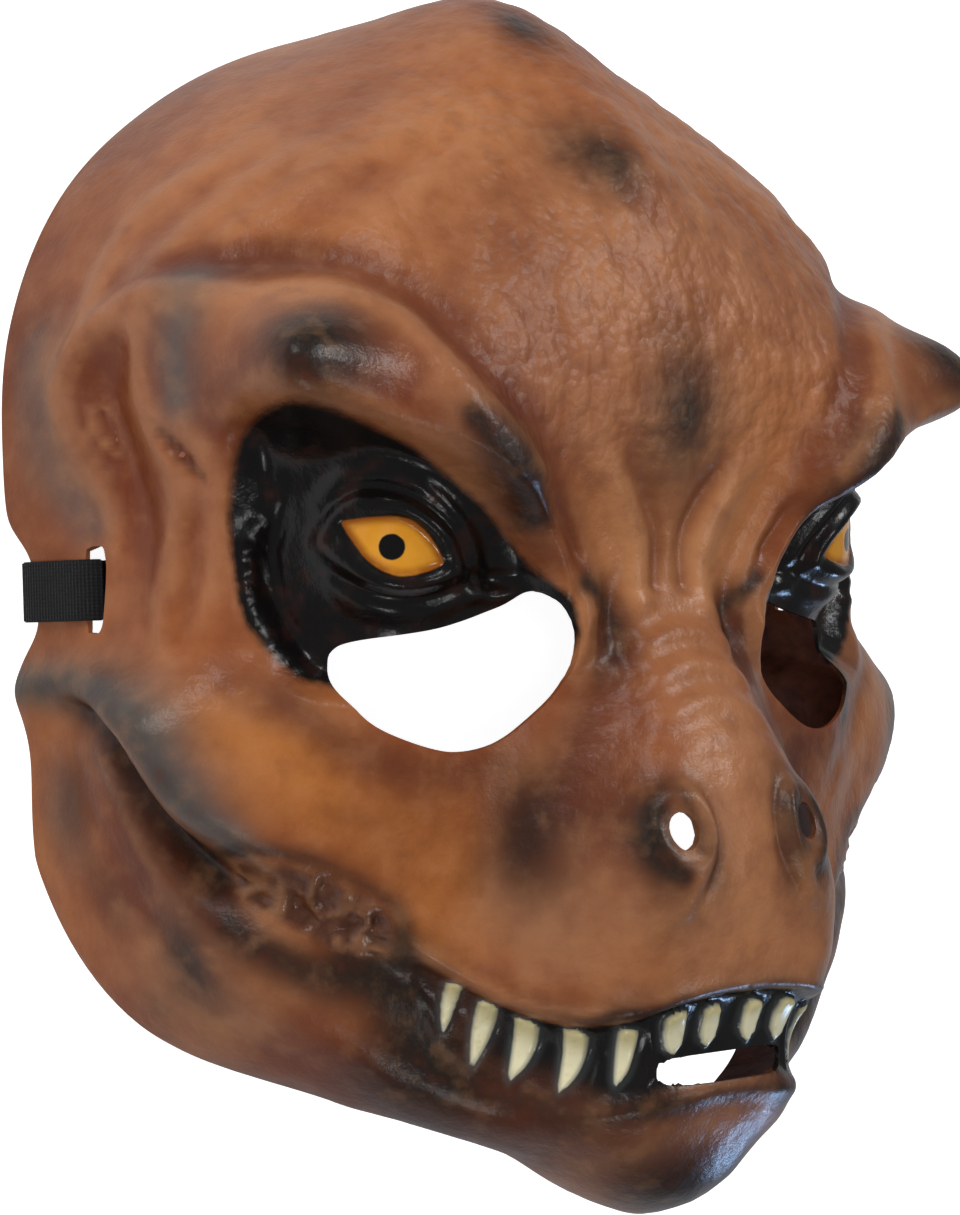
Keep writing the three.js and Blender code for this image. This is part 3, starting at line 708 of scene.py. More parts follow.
    eye_outline: Rows = (
        (75.2, 13.9), (72.9, 14.5), (66.5, 15.2), (62, 14.5), (58.7, 11.8), (55.9, 7.8),
        (55.2, 5.7), (59.1, 4.3), (63.8, 3.7), (67.3, 4.6), (70.5, 6.8), (72.6, 9.6), (74.4, 12.2),
    )
    eye_depth: float = 0.9
    eye_wall: Span = (-0.9, 0.7)
    eye_calm: Span = (-4, 1)
    lump_size: float = 17.0
    lump_height: float = 0.75
    lump_seed: int = 3
    scale_size: float = 6.4
    small_scale_size: float = 3.6
    small_scale_share: float = 0.5
    scale_stretch: Place = (1.0, 0.85, 1.0)
    scale_seeds: tuple[int, int] = (5, 9)
    scale_height: float = 0.5
    scale_level: float = 0.45
    scale_regions: tuple[tuple[float, Span, Span, Span], ...] = (
        (1.0, (66, 40), (14, 34), (118, 96)),
        (0.55, (96, 60), (46, 60), (150, 120)),
        (0.25, (60, 40), (-64, -50), (10, -20)),
    )

    def eye_rim(self, a: Array, b: Array) -> Array:
        """Distance to the almond opening between the lids, positive inside."""
        return within(self.eye_outline, a, b, OUTLINE_REACH)

    def gum_edge(self, a: Array, b: Array) -> Array:
        """Distance to the black band that the teeth stand on, positive inside."""
        return within(self.gum, a, b, OUTLINE_REACH)

    def patch_edge(self, a: Array, b: Array) -> Array:
        """Distance to the crinkled gum at the corner of the mouth, positive inside."""
        return within(self.patch, a, b, OUTLINE_REACH)

    def tooth_edge(self, a: Array, b: Array) -> tuple[Array, Array]:
        """Distance to the nearest tooth's outline, and the share of its length from the root.

        Args:
            a: Distances across.
            b: Distances up.

        Returns:
            The signed distance and the share at each place.
        """
        best, share = np.full(a.shape, NOWHERE), np.zeros(a.shape)
        for tooth in self.teeth:
            edge, t = tooth.edge(a, b)
            share = np.where(edge > best, t, share)
            best = np.maximum(best, edge)
        return best, share

    def gum_share(self, a: Array, b: Array) -> Array:
        """How much of the black band shows, from 0 to 1: sharp under the lip, soft below.

        Args:
            a: Distances across.
            b: Distances up.

        Returns:
            The share at each place.
        """
        sharp, softer = self.gum_fade
        fade = sharp + softer * smooth_step(*self.gum_soft_from, a)
        above = (b - through(self.gum_low_across, self.gum_low_up, a)) / fade
        tail = 1 - self.gum_tail * smooth_step(*self.gum_tail_from, a)
        return smooth_step(*self.gum_top, self.gum_edge(a, b)) * smooth_step(0, 1, above) * tail

    def crinkle(self, points: Array) -> Array:
        """Ridges of the crinkled gum, highest at 1."""
        stretched = points * np.array(self.crinkle_stretch)
        folds = cloudy(stretched, self.crinkle_size, self.crinkle_seed, octaves=2)
        return 1 - np.abs(folds) * self.crinkle_depth

    def height(self, a: Array, b: Array, points: Array, fine: bool = True) -> Array:
        """Height of the finer moulding over the main forms.

        Args:
            a: Distances across.
            b: Distances up.
            points: The same places as points, for the scales.
            fine: Whether teeth and scales are in it, as on the outer face.

        Returns:
            The height at each place.
        """
        gum, eye = self.gum_edge(a, b), self.eye_rim(a, b)
        h = carved(self.folds, a, b)
        h = h - self.gum_depth * smooth_step(*self.gum_wall, gum) * np.sqrt(self.gum_share(a, b))
        h = h - self.eye_depth * smooth_step(*self.eye_wall, eye)
        crinkle = self.patch_rise * self.crinkle(points) - self.patch_drop
        h = h + smooth_step(*self.patch_wall, self.patch_edge(a, b)) * crinkle
        calm = smooth_step(*self.eye_calm, eye) + smooth_step(*self.gum_calm, gum)
        lumpy = cloudy(points, self.lump_size, self.lump_seed)
        h = h + self.lump_height * lumpy * (1 - np.clip(calm, 0, 1))
        if not fine:
            return h
        one, two = self.scale_seeds
        beads = pebbles(points * np.array(self.scale_stretch), self.scale_size, one)
        beads = beads + self.small_scale_share * pebbles(points, self.small_scale_size, two)
        h = h + self.scale_share(a, b) * self.scale_height * (beads - self.scale_level)
        edge, share = self.tooth_edge(a, b)
        wide = self.tooth_shoulder * (1 - self.shoulder_thins * share)
        wide = np.maximum(wide, self.shoulder_least)
        body = np.sqrt(np.clip(1 - (1 - np.clip(edge, 0, wide) / wide) ** 2, 0, 1))
        rise = self.tooth_height * (1 - self.tooth_thins * share)
        return h + rise * body * smooth_step(*self.tooth_wall, edge)

    def scale_share(self, a: Array, b: Array) -> Array:
        """How strong the pebbled scales are, from 0 to 1: most on the brow, least on the snout.

        Args:
            a: Distances across.
            b: Distances up.

        Returns:
            The share at each place.
        """
        return np.maximum.reduce([
            most * (smooth_step(*across, a) * smooth_step(*low, b) * smooth_step(*high, b))
            for most, across, low, high in self.scale_regions
        ])


# Openings


@dataclass
class Openings:
    """Everything cut through the wall, as signed distances that are positive in the opening."""

    eye: Rows = (
        (71, -15), (70, -11), (66, -9), (52, -7), (38, -3), (32, 0), (27, -6), (26, -13), (29, -20),
            (36, -26), (45, -31), (54, -32), (63, -29), (69, -25), (72, -20),
    )
    nostril: tuple[float, float, float, float] = (17.6, -49.5, 3.1, 3.9)
    mouth: Place = (17.5, -99.4, 3.0)
    slot: tuple[float, float, float, float] = (3.0, 9.0, 23.5, 28.5)
    slot_beyond: float = 80.0
    squareness: float = 6.0
    lowest: float = 40.0

    def at(self, points: Array) -> Array:
        """Distance to the nearest opening's edge, positive in the opening.

        Args:
            points: Points of either face of the wall.

        Returns:
            The signed distance of each point.
        """
        x, y, z = np.abs(points[..., 0]), points[..., 1], points[..., 2]
        front = z > self.lowest
        px, py, rx, ry = self.nostril
        nostril = (1 - np.hypot((x - px) / rx, (y - py) / ry)) * min(rx, ry)
        half, up, tall = self.mouth
        mouth = self.squarish(x, y - up, half, tall)
        eye = within(self.eye, x, y, OUTLINE_REACH, steps=6)
        best = np.where(front, np.maximum(np.maximum(eye, nostril), mouth), NOWHERE)
        sy, sh, low, high = self.slot
        slot = self.squarish(y - sy, z - (high + low) / 2, sh, (high - low) / 2)
        return np.where((x > self.slot_beyond) & ~front, slot, best)

    def squarish(self, p: Array, q: Array, half: float, tall: float) -> Array:
        """Distance to a slot with rounded corners and its middle at p = q = 0, positive inside."""
        n = self.squareness
        return tall * (1 - ((np.abs(p) / half) ** n + (np.abs(q) / tall) ** n) ** (1 / n))


# Meshes


def unit(vectors: Array) -> Array:
    """The same directions with length 1."""
    return vectors / np.linalg.norm(vectors, axis=-1, keepdims=True)


def linear(colour: str) -> Place:
    """A screen colour such as #8a5534 as the red, green and blue light it stands for."""
    parts = [int(colour[i : i + 2], 16) / 255 for i in (1, 3, 5)]
    return tuple(c / 12.92 if c <= 0.04045 else ((c + 0.055) / 1.055) ** 2.4 for c in parts)


def linked(name: str, data: bpy.types.ID) -> Thing:
    """A new object of the scene.

    Args:
        name: Its name.
        data: Its mesh, curve, lamp or lens.

    Returns:
        The object.
    """
    made = bpy.data.objects.new(name, data)
    bpy.context.scene.collection.objects.link(made)
    return made


def mesh_object(
    name: str, points: Array, triangles: Array, values: dict[str, Array] | None = None
) -> Thing:
    """A Blender object from points in millimetres.

    Args:
        name: The object's name.
        points: Its vertices.
        triangles: Its faces.
        values: Numbers or colours for each vertex, by attribute name.

    Returns:
        The object.
    """
    mesh = bpy.data.meshes.new(name)
    count = len(triangles)
    mesh.vertices.add(len(points))
    mesh.vertices.foreach_set("co", (points * MM).astype(np.float32).ravel())
    mesh.loops.add(3 * count)
    mesh.loops.foreach_set("vertex_index", triangles.astype(np.int32).ravel())
    mesh.polygons.add(count)
    mesh.polygons.foreach_set("loop_start", np.arange(0, 3 * count, 3, dtype=np.int32))
    mesh.polygons.foreach_set("loop_total", np.full(count, 3, dtype=np.int32))
    mesh.update(calc_edges=True)
    for key, value in (values or {}).items():
        if value.ndim == 2:
            layer = mesh.attributes.new(key, "FLOAT_COLOR", "POINT")
            full = np.ones((len(points), 4), np.float32)
            full[:, : value.shape[1]] = value
            layer.data.foreach_set("color", full.ravel())
        else:
            layer = mesh.attributes.new(key, "FLOAT", "POINT")
            layer.data.foreach_set("value", value.astype(np.float32))
    mesh.validate(verbose=False)
    mesh.shade_smooth()
    return linked(name, mesh)


@dataclass
class Wall:
    """One face of the shell as triangles, with the values of each vertex."""

    points: Array
    triangles: Array
    values: dict[str, Array]

    def trimmed(self, cut: Array) -> "Wall":
        """The wall without the places where cut is positive, with clean edges along zero.

        Args:
            cut: Signed distance of each vertex to an opening.

        Returns:
            A new wall.
        """
        out = cut > 0
        count = out[self.triangles].sum(1)
        points, values = [self.points], {k: [v] for k, v in self.values.items()}
        made: dict[tuple[int, int], int] = {}
        extra: list[tuple[int, int, int]] = []

        def between(i: int, j: int) -> int:
            """The vertex where the edge from i to j meets the opening."""
            p, q = min(i, j), max(i, j)
            if (p, q) not in made:
                t = cut[p] / (cut[p] - cut[q])
                points.append((self.points[p] + t * (self.points[q] - self.points[p]))[None])
                for k, v in self.values.items():
                    values[k].append((v[p] + t * (v[q] - v[p]))[None])
                made[p, q] = len(self.points) + len(made)
            return made[p, q]

        crossed = (count > 0) & (count < 3)
        for tri, n in zip(self.triangles[crossed], count[crossed]):
            i = int(np.argmax(out[tri])) if n == 1 else int(np.argmin(out[tri]))
            a, b, c = (int(tri[(i + k) % 3]) for k in range(3))
            ab, ac = between(a, b), between(a, c)
            extra += [(ab, b, c), (ab, c, ac)] if n == 1 else [(a, ab, ac)]
        kept = self.triangles[count == 0]
        triangles = np.vstack([kept, np.array(extra, int).reshape(-1, 3)])
        used = np.unique(triangles)
        all_points = np.vstack(points)
        place = np.full(len(all_points), -1)
        place[used] = np.arange(len(used))
        kept_values = {k: np.concatenate(v)[used] for k, v in values.items()}
        return Wall(all_points[used], place[triangles], kept_values)

    def loops(self) -> list[list[int]]:
        """The open edges as closed loops of vertices, in the triangles' own direction."""
        edges = np.vstack([self.triangles[:, pair] for pair in ([0, 1], [1, 2], [2, 0])])
        edges = edges.astype(np.int64)
        keys, back = (edges[:, k] * len(self.points) + edges[:, 1 - k] for k in (0, 1))
        follow = {int(i): int(j) for i, j in edges[~np.isin(keys, back)]}
        found = []
        while follow:
            start, nxt = follow.popitem()
            loop = [start]
            while nxt != start:
                loop.append(nxt)
                nxt = follow.pop(nxt)
            found.append(loop)
        return found


def zipped(outer: Array, inner: Array) -> list[tuple[tuple[int, int], ...]]:
    """Triangles that join two loops of points that run the same way.

    Args:
        outer: Points of the first loop.
        inner: Points of the second loop.

    Returns:
        Triangles, each corner as which loop (0 or 1) and which place in it.
    """
    start = int(np.argmin(((inner - outer[0]) ** 2).sum(1)))
    n, m = len(outer), len(inner)
    i = j = 0
    faces = []
    while i < n or j < m:
        here, there = (0, i % n), (1, (start + j) % m)
        ahead, beyond = (0, (i + 1) % n), (1, (start + j + 1) % m)
        short = np.sum((outer[ahead[1]] - inner[there[1]]) ** 2)
        long = np.sum((inner[beyond[1]] - outer[here[1]]) ** 2)
        if j >= m or (i < n and short <= long):
            faces.append((here, there, ahead))
            i += 1
        else:
            faces.append((here, there, beyond))
            j += 1
    return faces


# Paint


class Tint(Enum):
    """The colours painted on the mask: airbrushed paint, and painted highlight and shade."""

    BROWN = "#8b4b27"
    ORANGE = "#a8672f"
    TAN = "#b57f56"
    RED_BROWN = "#5c2814"
    DARK_RED = "#38170e"
    BLACK = "#16130f"
    GREY = "#4a4a48"
    INSIDE = "#86513f"

    @property
    def light(self) -> Place:
        """The colour as light."""
        return linear(self.value)


@dataclass(frozen=True)
class Spray:
    """A soft patch of paint on both sides or, with side 1 or -1, on one: mostly airbrushed colour,
    and in places painted highlight and shade.
    """

    tint: Tint
    amount: float
    shape: RoundForm | LongForm
    side: int = 0

    def share(self, a: Array, b: Array, x: Array) -> Array:
        """How much of this paint covers each place, from 0 to 1; x is a with its side's sign."""
        across = a * self.side * np.sign(x) if self.side else a
        return np.clip(self.amount * self.shape.raised(across, b), 0, 1)


def dab(tint: Tint, amount: float, across: float, up: float, *size: float, side: int = 0) -> Spray:
    """A round patch of paint; size is half its width, half its height, its turn and its power."""
    return Spray(tint, amount, RoundForm(across, up, 1, *size), side)


def stripe(tint: Tint, amount: float, *flat: float, side: int = 0) -> Spray:
    """An even line of paint: across, up and half width of each knot."""
    rows = tuple((across, up, 1, half) for across, up, half in zip(*[iter(flat)] * 3))
    return Spray(tint, amount, LongForm(rows), side)


def faded(tint: Tint, amount: float, *flat: float) -> Spray:
    """A line of paint whose strength changes: across, up, strength and half width of each knot."""
    return Spray(tint, amount, ridge(*flat))


@dataclass
class Paintwork:
    """The airbrushed colours of the outer face with painted highlights and shade among them, and
    the values that the finish reads.
    """

    relief: Relief
    sprays: tuple[Spray, ...] = (
        # Painted light: a lit orange band along the cheek below the eye hole.
        stripe(Tint.ORANGE, 0.75, 96, -24, 7, 84, -31, 8, 75, -40, 7, 61, -48, 8),
        dab(Tint.ORANGE, 0.4, 44, -60, 22, 6, -10),
        dab(Tint.ORANGE, 0.4, 20, 8, 16, 14),
        dab(Tint.TAN, 0.3, 26, 58, 24, 24),
        dab(Tint.TAN, 0.12, 80, 96, 70, 30),
        dab(Tint.TAN, 0.34, 0, -52, 17, 12),
        dab(Tint.TAN, 0.5, 8, 6, 12, 12),
        dab(Tint.TAN, 0.3, 0, -22, 12, 13),
        # Painted highlight: tan along the top of the brow ridge.
        dab(Tint.TAN, 0.25, 74, 50, 22, 6),
        stripe(Tint.RED_BROWN, 0.5, 128, 46, 5, 128, 36, 6, 123, 26, 5, 118, 12, 4, 116, 0, 4),
        # Painted highlight: a thin tan ring on the oval lip at the temple.
        stripe(Tint.TAN, 0.45, 131.6, 40, 0.5, 129.3, 40.2, 0.5, 126.9, 37, 0.5, 125.8, 33, 0.5,
            127, 30.6, 0.5, 129.2, 33, 0.5, 131.2, 36.6, 0.5, 131.6, 40, 0.5),
        dab(Tint.RED_BROWN, 0.55, 104, 32, 8, 20),
        # Painted shadow under the brow ridge, above the black socket.
        stripe(Tint.RED_BROWN, 0.75, 100, 32, 4, 92, 38, 4, 82, 39.5, 4, 70, 38, 4, 58, 32, 4,
            45, 21, 4, 33, 7, 3.5),
        # Painted shade along the valley above the brow ridge.
        stripe(Tint.RED_BROWN, 0.6, 110, 61, 3.5, 90, 60.5, 3.5, 72, 58, 3.5, 58, 49, 3.5,
            45, 36, 3.2),
        stripe(Tint.RED_BROWN, 0.6, 44, 33, 3, 33, 20, 3, 25, 5, 3, 20, -8, 3.4),
        stripe(Tint.RED_BROWN, 0.2, 4, 0, 2.2, 3.6, 10, 2.2, 7.3, 18, 2.4, 13, 25, 2.6),
        stripe(Tint.RED_BROWN, 0.75, 124, -30, 7, 121, -42, 8, 116, -54, 8, 100, -70, 8, 84, -82, 8,
            66, -92, 9),
        stripe(Tint.RED_BROWN, 0.7, 60, -94, 7, 44, -97, 7, 28, -95, 7, 12, -93, 8, 0, -93, 8),
        # Painted shadow: black in the hollow beside the inner corner of the eye hole, next to the
        # tear fold.
        faded(Tint.BLACK, 0.9, 25, 1.6, 1, 2, 18.5, -2.6, 1, 2.6, 16, -7, 1, 3.2, 17.6, -12, 1, 2.8,
            21, -17, 0.6, 2),
        dab(Tint.RED_BROWN, 0.55, 30, -50, 15, 13),
        dab(Tint.DARK_RED, 0.35, 60, -100, 50, 11),
        dab(Tint.DARK_RED, 0.45, 16, -90, 26, 7),
        stripe(Tint.DARK_RED, 0.8, 58, -76, 4.5, 48, -80, 5, 38, -81, 5, 28, -79, 5, 18, -76, 5),
        # Painted shade in the valley above the brow ridge.
        faded(Tint.DARK_RED, 0.5, 104, 57.6, 1, 2.6, 96, 60.4, 1, 3, 86, 61.5, 1, 3,
            76, 60, 0.7, 2.6),
        # Painted shade: a thin dark line along the temple crease.
        faded(Tint.BLACK, 0.6, 111.6, 34.3, 0.6, 0.6, 106, 29, 1, 0.7, 101.4, 23.8, 0.8, 0.6),
        stripe(Tint.DARK_RED, 0.6, 19.7, -10, 3, 18.3, -14, 3, 24, -22, 3.6, 29.6, -33, 4.5,
            37, -44, 6, 43, -52, 6),
        stripe(Tint.DARK_RED, 0.55, 72, -66, 6, 68, -76, 7, 68, -86, 7, 56, -96, 7, 36, -100, 6),
        stripe(Tint.DARK_RED, 0.5, 86, -20, 3, 76.6, -27, 3.2, 65, -33, 3, 53, -35, 3,
            44, -34, 2.5),
        stripe(Tint.GREY, 0.8, 101, 56, 4, 103, 47, 4.4, 105, 38, 3.4),
        stripe(Tint.GREY, 0.6, 146, 52, 6, 144, 37, 6, 139, 26, 5, 133, 17, 4),
        stripe(Tint.GREY, 0.95, 156, -18, 4, 140.6, -17.4, 4.6, 123, -18, 5, 111, -22, 5.4,
            106, -31, 5.2, 102, -39.4, 4.6, 96, -46, 3),
        stripe(Tint.DARK_RED, 0.85, 140, -23.6, 3, 129, -26, 4.4, 121.6, -35, 5, 117.4, -44, 5,
            109, -51.6, 4.4, 101, -56, 3),
        stripe(Tint.BLACK, 0.8, 106, -49.6, 1.3, 97, -47.2, 1.3, 88, -47.6, 1.3, 80, -49.4, 1.4,
            72, -53.4, 1.6, 66, -58.6, 2, 65, -66, 3),
        stripe(Tint.DARK_RED, 0.6, 104, -58.5, 3, 92, -64.5, 3.6, 80, -69, 3.6),
        stripe(Tint.BLACK, 0.8, 76, -67, 3, 69, -69, 5, 65, -74, 6, 62, -82, 5),
        dab(Tint.GREY, 0.2, 92, -18, 7, 4, 35),
        stripe(Tint.BLACK, 0.4, 152, -19, 3.4, 136, -18, 3.4, 121, -20, 3.2, 111, -26, 3,
            106, -36, 2.6),
        faded(Tint.BLACK, 0.75, 22, -82.2, 0.8, 1.6, 13, -81, 1, 1.7, 0, -80.6, 1, 1.7),
        dab(Tint.RED_BROWN, 0.35, 44, 62, 22, 12, -40),
        dab(Tint.GREY, 0.5, 146, -45, 6, 9),
        stripe(Tint.BLACK, 0.92, 134, -22.4, 2.4, 124, -26, 3.2, 118.3, -32.4, 3.6,
            114.8, -39.5, 3.6, 110.6, -46.5, 3.2, 103, -53, 2.6),
        stripe(Tint.BLACK, 0.8, 100, -60, 2.4, 90, -65, 2.8, 78, -69, 3.2, 68, -70, 4, 62, -74, 4.5,
            61, -82, 4, 54, -87, 3),
        faded(Tint.BLACK, 0.7, 60, -80, 1, 3.4, 50, -86, 1, 3.4, 40, -87.5, 1, 3.2, 31, -86.5, 1, 3,
            22, -83, 1, 2.4, 14, -80.5, 0.8, 2),
        dab(Tint.BLACK, 1, 77, 41.6, 7, 5.6, 0, 2.8),
        stripe(Tint.BLACK, 0.95, 53, 32, 2.6, 47.5, 27.5, 4.2, 43.4, 22, 4, 38, 15, 2.6),
        dab(Tint.BLACK, 0.95, -6, 117, 7, 5.5, side=1),
        dab(Tint.BLACK, 0.95, -7.5, 80.5, 5.6, 6.2, side=1),
        dab(Tint.BLACK, 0.6, -16, 84, 6, 5, side=1),
        dab(Tint.BLACK, 0.95, 0, 33.6, 8, 11),
        dab(Tint.BLACK, 0.78, 39, -46.6, 6, 9, 14),
        dab(Tint.BLACK, 0.85, 21.4, -43.6, 3.4, 4.6),
        faded(Tint.BLACK, 0.95, 17, -35.4, 0.5, 1.4, 19.2, -38, 1, 1.8, 20, -41.6, 1, 2,
            19.4, -45, 1, 2, 16.4, -47.4, 0.9, 1.7),
        stripe(Tint.DARK_RED, 0.8, 13.8, -36.6, 1.1, 12.2, -40, 1.2, 12.5, -43.6, 1.1),
        dab(Tint.BLACK, 0.85, 10.6, -39.5, 3, 4.6, side=1),
        stripe(Tint.BLACK, 0.95, 78, -10, 3, 76.4, -17, 2.6, 73, -24, 2, 66, -30, 1.2, side=1),
        dab(Tint.BLACK, 0.7, 9.6, -45, 3, 5),
        dab(Tint.BLACK, 0.5, 15, -34.6, 5, 2.6),
        dab(Tint.BLACK, 0.5, 18, -52, 4, 3),
        dab(Tint.BLACK, 0.85, 110, -68.6, 6.4, 9, -30),
        dab(Tint.BLACK, 0.45, 120, -78, 6, 4, -30),
        dab(Tint.BLACK, 0.6, 140, -42, 5, 7),
        dab(Tint.BLACK, 0.45, 131, -60, 6, 6),
        dab(Tint.BLACK, 0.5, 70, -87, 6, 6),
        dab(Tint.BLACK, 0.5, 57, -97, 9, 5),
        dab(Tint.BLACK, 0.95, 2, -97, 15, 8, 0, 3),
        faded(Tint.BLACK, 0.92, 42, -72.6, 0.4, 1.2, 31, -70.8, 0.8, 1.4, 24, -67.8, 1, 1.8,
            12, -65.4, 1, 2, 0, -65, 1, 2),
    )
    black_socket: Rows = (
        (95.2, 24.5), (93.6, 29.6), (89.3, 33), (80.3, 34.6), (74.4, 33.4), (63.8, 28.1),
            (54.1, 21.2), (41.8, 11.9), (33.4, 3.2), (27.5, -3.5), (28, -14), (50, -22),
            (70, -19.5), (79.6, -17.2), (86.9, -14.2), (94.3, -4), (96.4, 5.9), (96.6, 15.3),
    )
    pupil: Place = (65.7, 9.3, 2.6)
    drift: float = 1.2
    drift_size: float = 9.0
    drift_seeds: tuple[int, int] = (41, 57)
    mottle_size: float = 34.0
    mottle_seed: int = 71
    socket_waver: float = 0.5
    # How strongly the finer relief is painted as highlight on raised places and as shade in
    # hollows.
    relief_shading: float = 0.45
    on_paint: Span = (0.02, 0.12)
    mottles: tuple[tuple[Tint, float, float, float], ...] = (
        (Tint.RED_BROWN, 0.22, -0.5, 0.4), (Tint.ORANGE, 0.1, 0.6, 0.5),
    )
    side_shade: float = 0.35
    side_shade_across: Span = (118, 156)
    side_shade_up: Span = (-20, 20)
    patch_fade: Span = (-0.8, 0.8)
    patch_dark: float = 0.92
    # How much tan is painted on the crinkles' tops as highlight, and from how high.
    crinkle_highlight: float = 0.4
    crinkle_top: Span = (0.2, 1.0)
    relief_shading_most: float = 0.6
    relief_shading_tints: tuple[tuple[Tint, int, float], ...] = ((Tint.TAN, 1, 0.28), (Tint.RED_BROWN, -1, 0.4))
    tooth_deep: float = 6.0
    deep: float = 12.0

    def values(self, points: Array, a: Array, b: Array, fine: Array) -> dict[str, Array]:
        """Everything that the finish reads from the outer face.

        Args:
            points: The plain skin's points, signed across.
            a: Distances across.
            b: Distances up.
            fine: Height of the finer moulding, for the painted highlight on its raised places and
                the painted shade in its hollows.

        Returns:
            Attributes by name.
        """
        relief = self.relief
        drift, rise = (self.drift * cloudy(points, self.drift_size, s) for s in self.drift_seeds)
        mottle = cloudy(points, self.mottle_size, self.mottle_seed, octaves=4)
        colour = np.zeros(a.shape + (3,)) + np.array(Tint.BROWN.light)

        def lay(tint: Tint, share: Array) -> None:
            """Lay one colour over what is there."""
            nonlocal colour
            colour = colour + share[..., None] * (np.array(tint.light) - colour)

        for tint, base, slope, most in self.mottles:
            lay(tint, np.clip(base + slope * mottle, 0, most))
        side = smooth_step(*self.side_shade_across, a) * smooth_step(*self.side_shade_up, b)
        lay(Tint.RED_BROWN, self.side_shade * side)
        for spray in self.sprays:
            lay(spray.tint, spray.share(a + drift, b + rise, points[..., 0]))
        patch_edge = relief.patch_edge(a, b) + self.socket_waver * drift
        patch = smooth_step(*self.patch_fade, patch_edge)
        lay(Tint.DARK_RED, self.patch_dark * patch)
        # Painted highlight: tan on the tops of the crinkles.
        tops = smooth_step(*self.crinkle_top, relief.crinkle(points))
        lay(Tint.TAN, self.crinkle_highlight * patch * tops)
        # Painted highlight and painted shade after the finer relief: tan on its raised places,
        # red-brown in its hollows.
        raised = np.clip(fine * self.relief_shading, -self.relief_shading_most, self.relief_shading_most) * (1 - patch)
        for tint, sign, most in self.relief_shading_tints:
            on_paint = smooth_step(*self.on_paint, colour[..., 0])
            lay(tint, np.clip(sign * raised, 0, most) * on_paint)
        tooth, fang = relief.tooth_edge(a, b)
        px, py, pr = self.pupil
        edges = {
            "socket": within(self.black_socket, a, b, OUTLINE_REACH) + self.socket_waver * drift,
            "patch": patch_edge,
            "iris": relief.eye_rim(a, b),
            "pupil": pr - np.hypot(a - px, b - py),
        }
        return {
            "paint": colour,
            "gum": relief.gum_share(a, b),
            "tooth": np.clip(tooth, -self.tooth_deep, self.tooth_deep),
            "fang": fang,
            "scales": relief.scale_share(a, b),
            "inside": np.zeros(a.shape),
            **{name: np.clip(edge, -self.deep, self.deep) for name, edge in edges.items()},
        }


# The shell


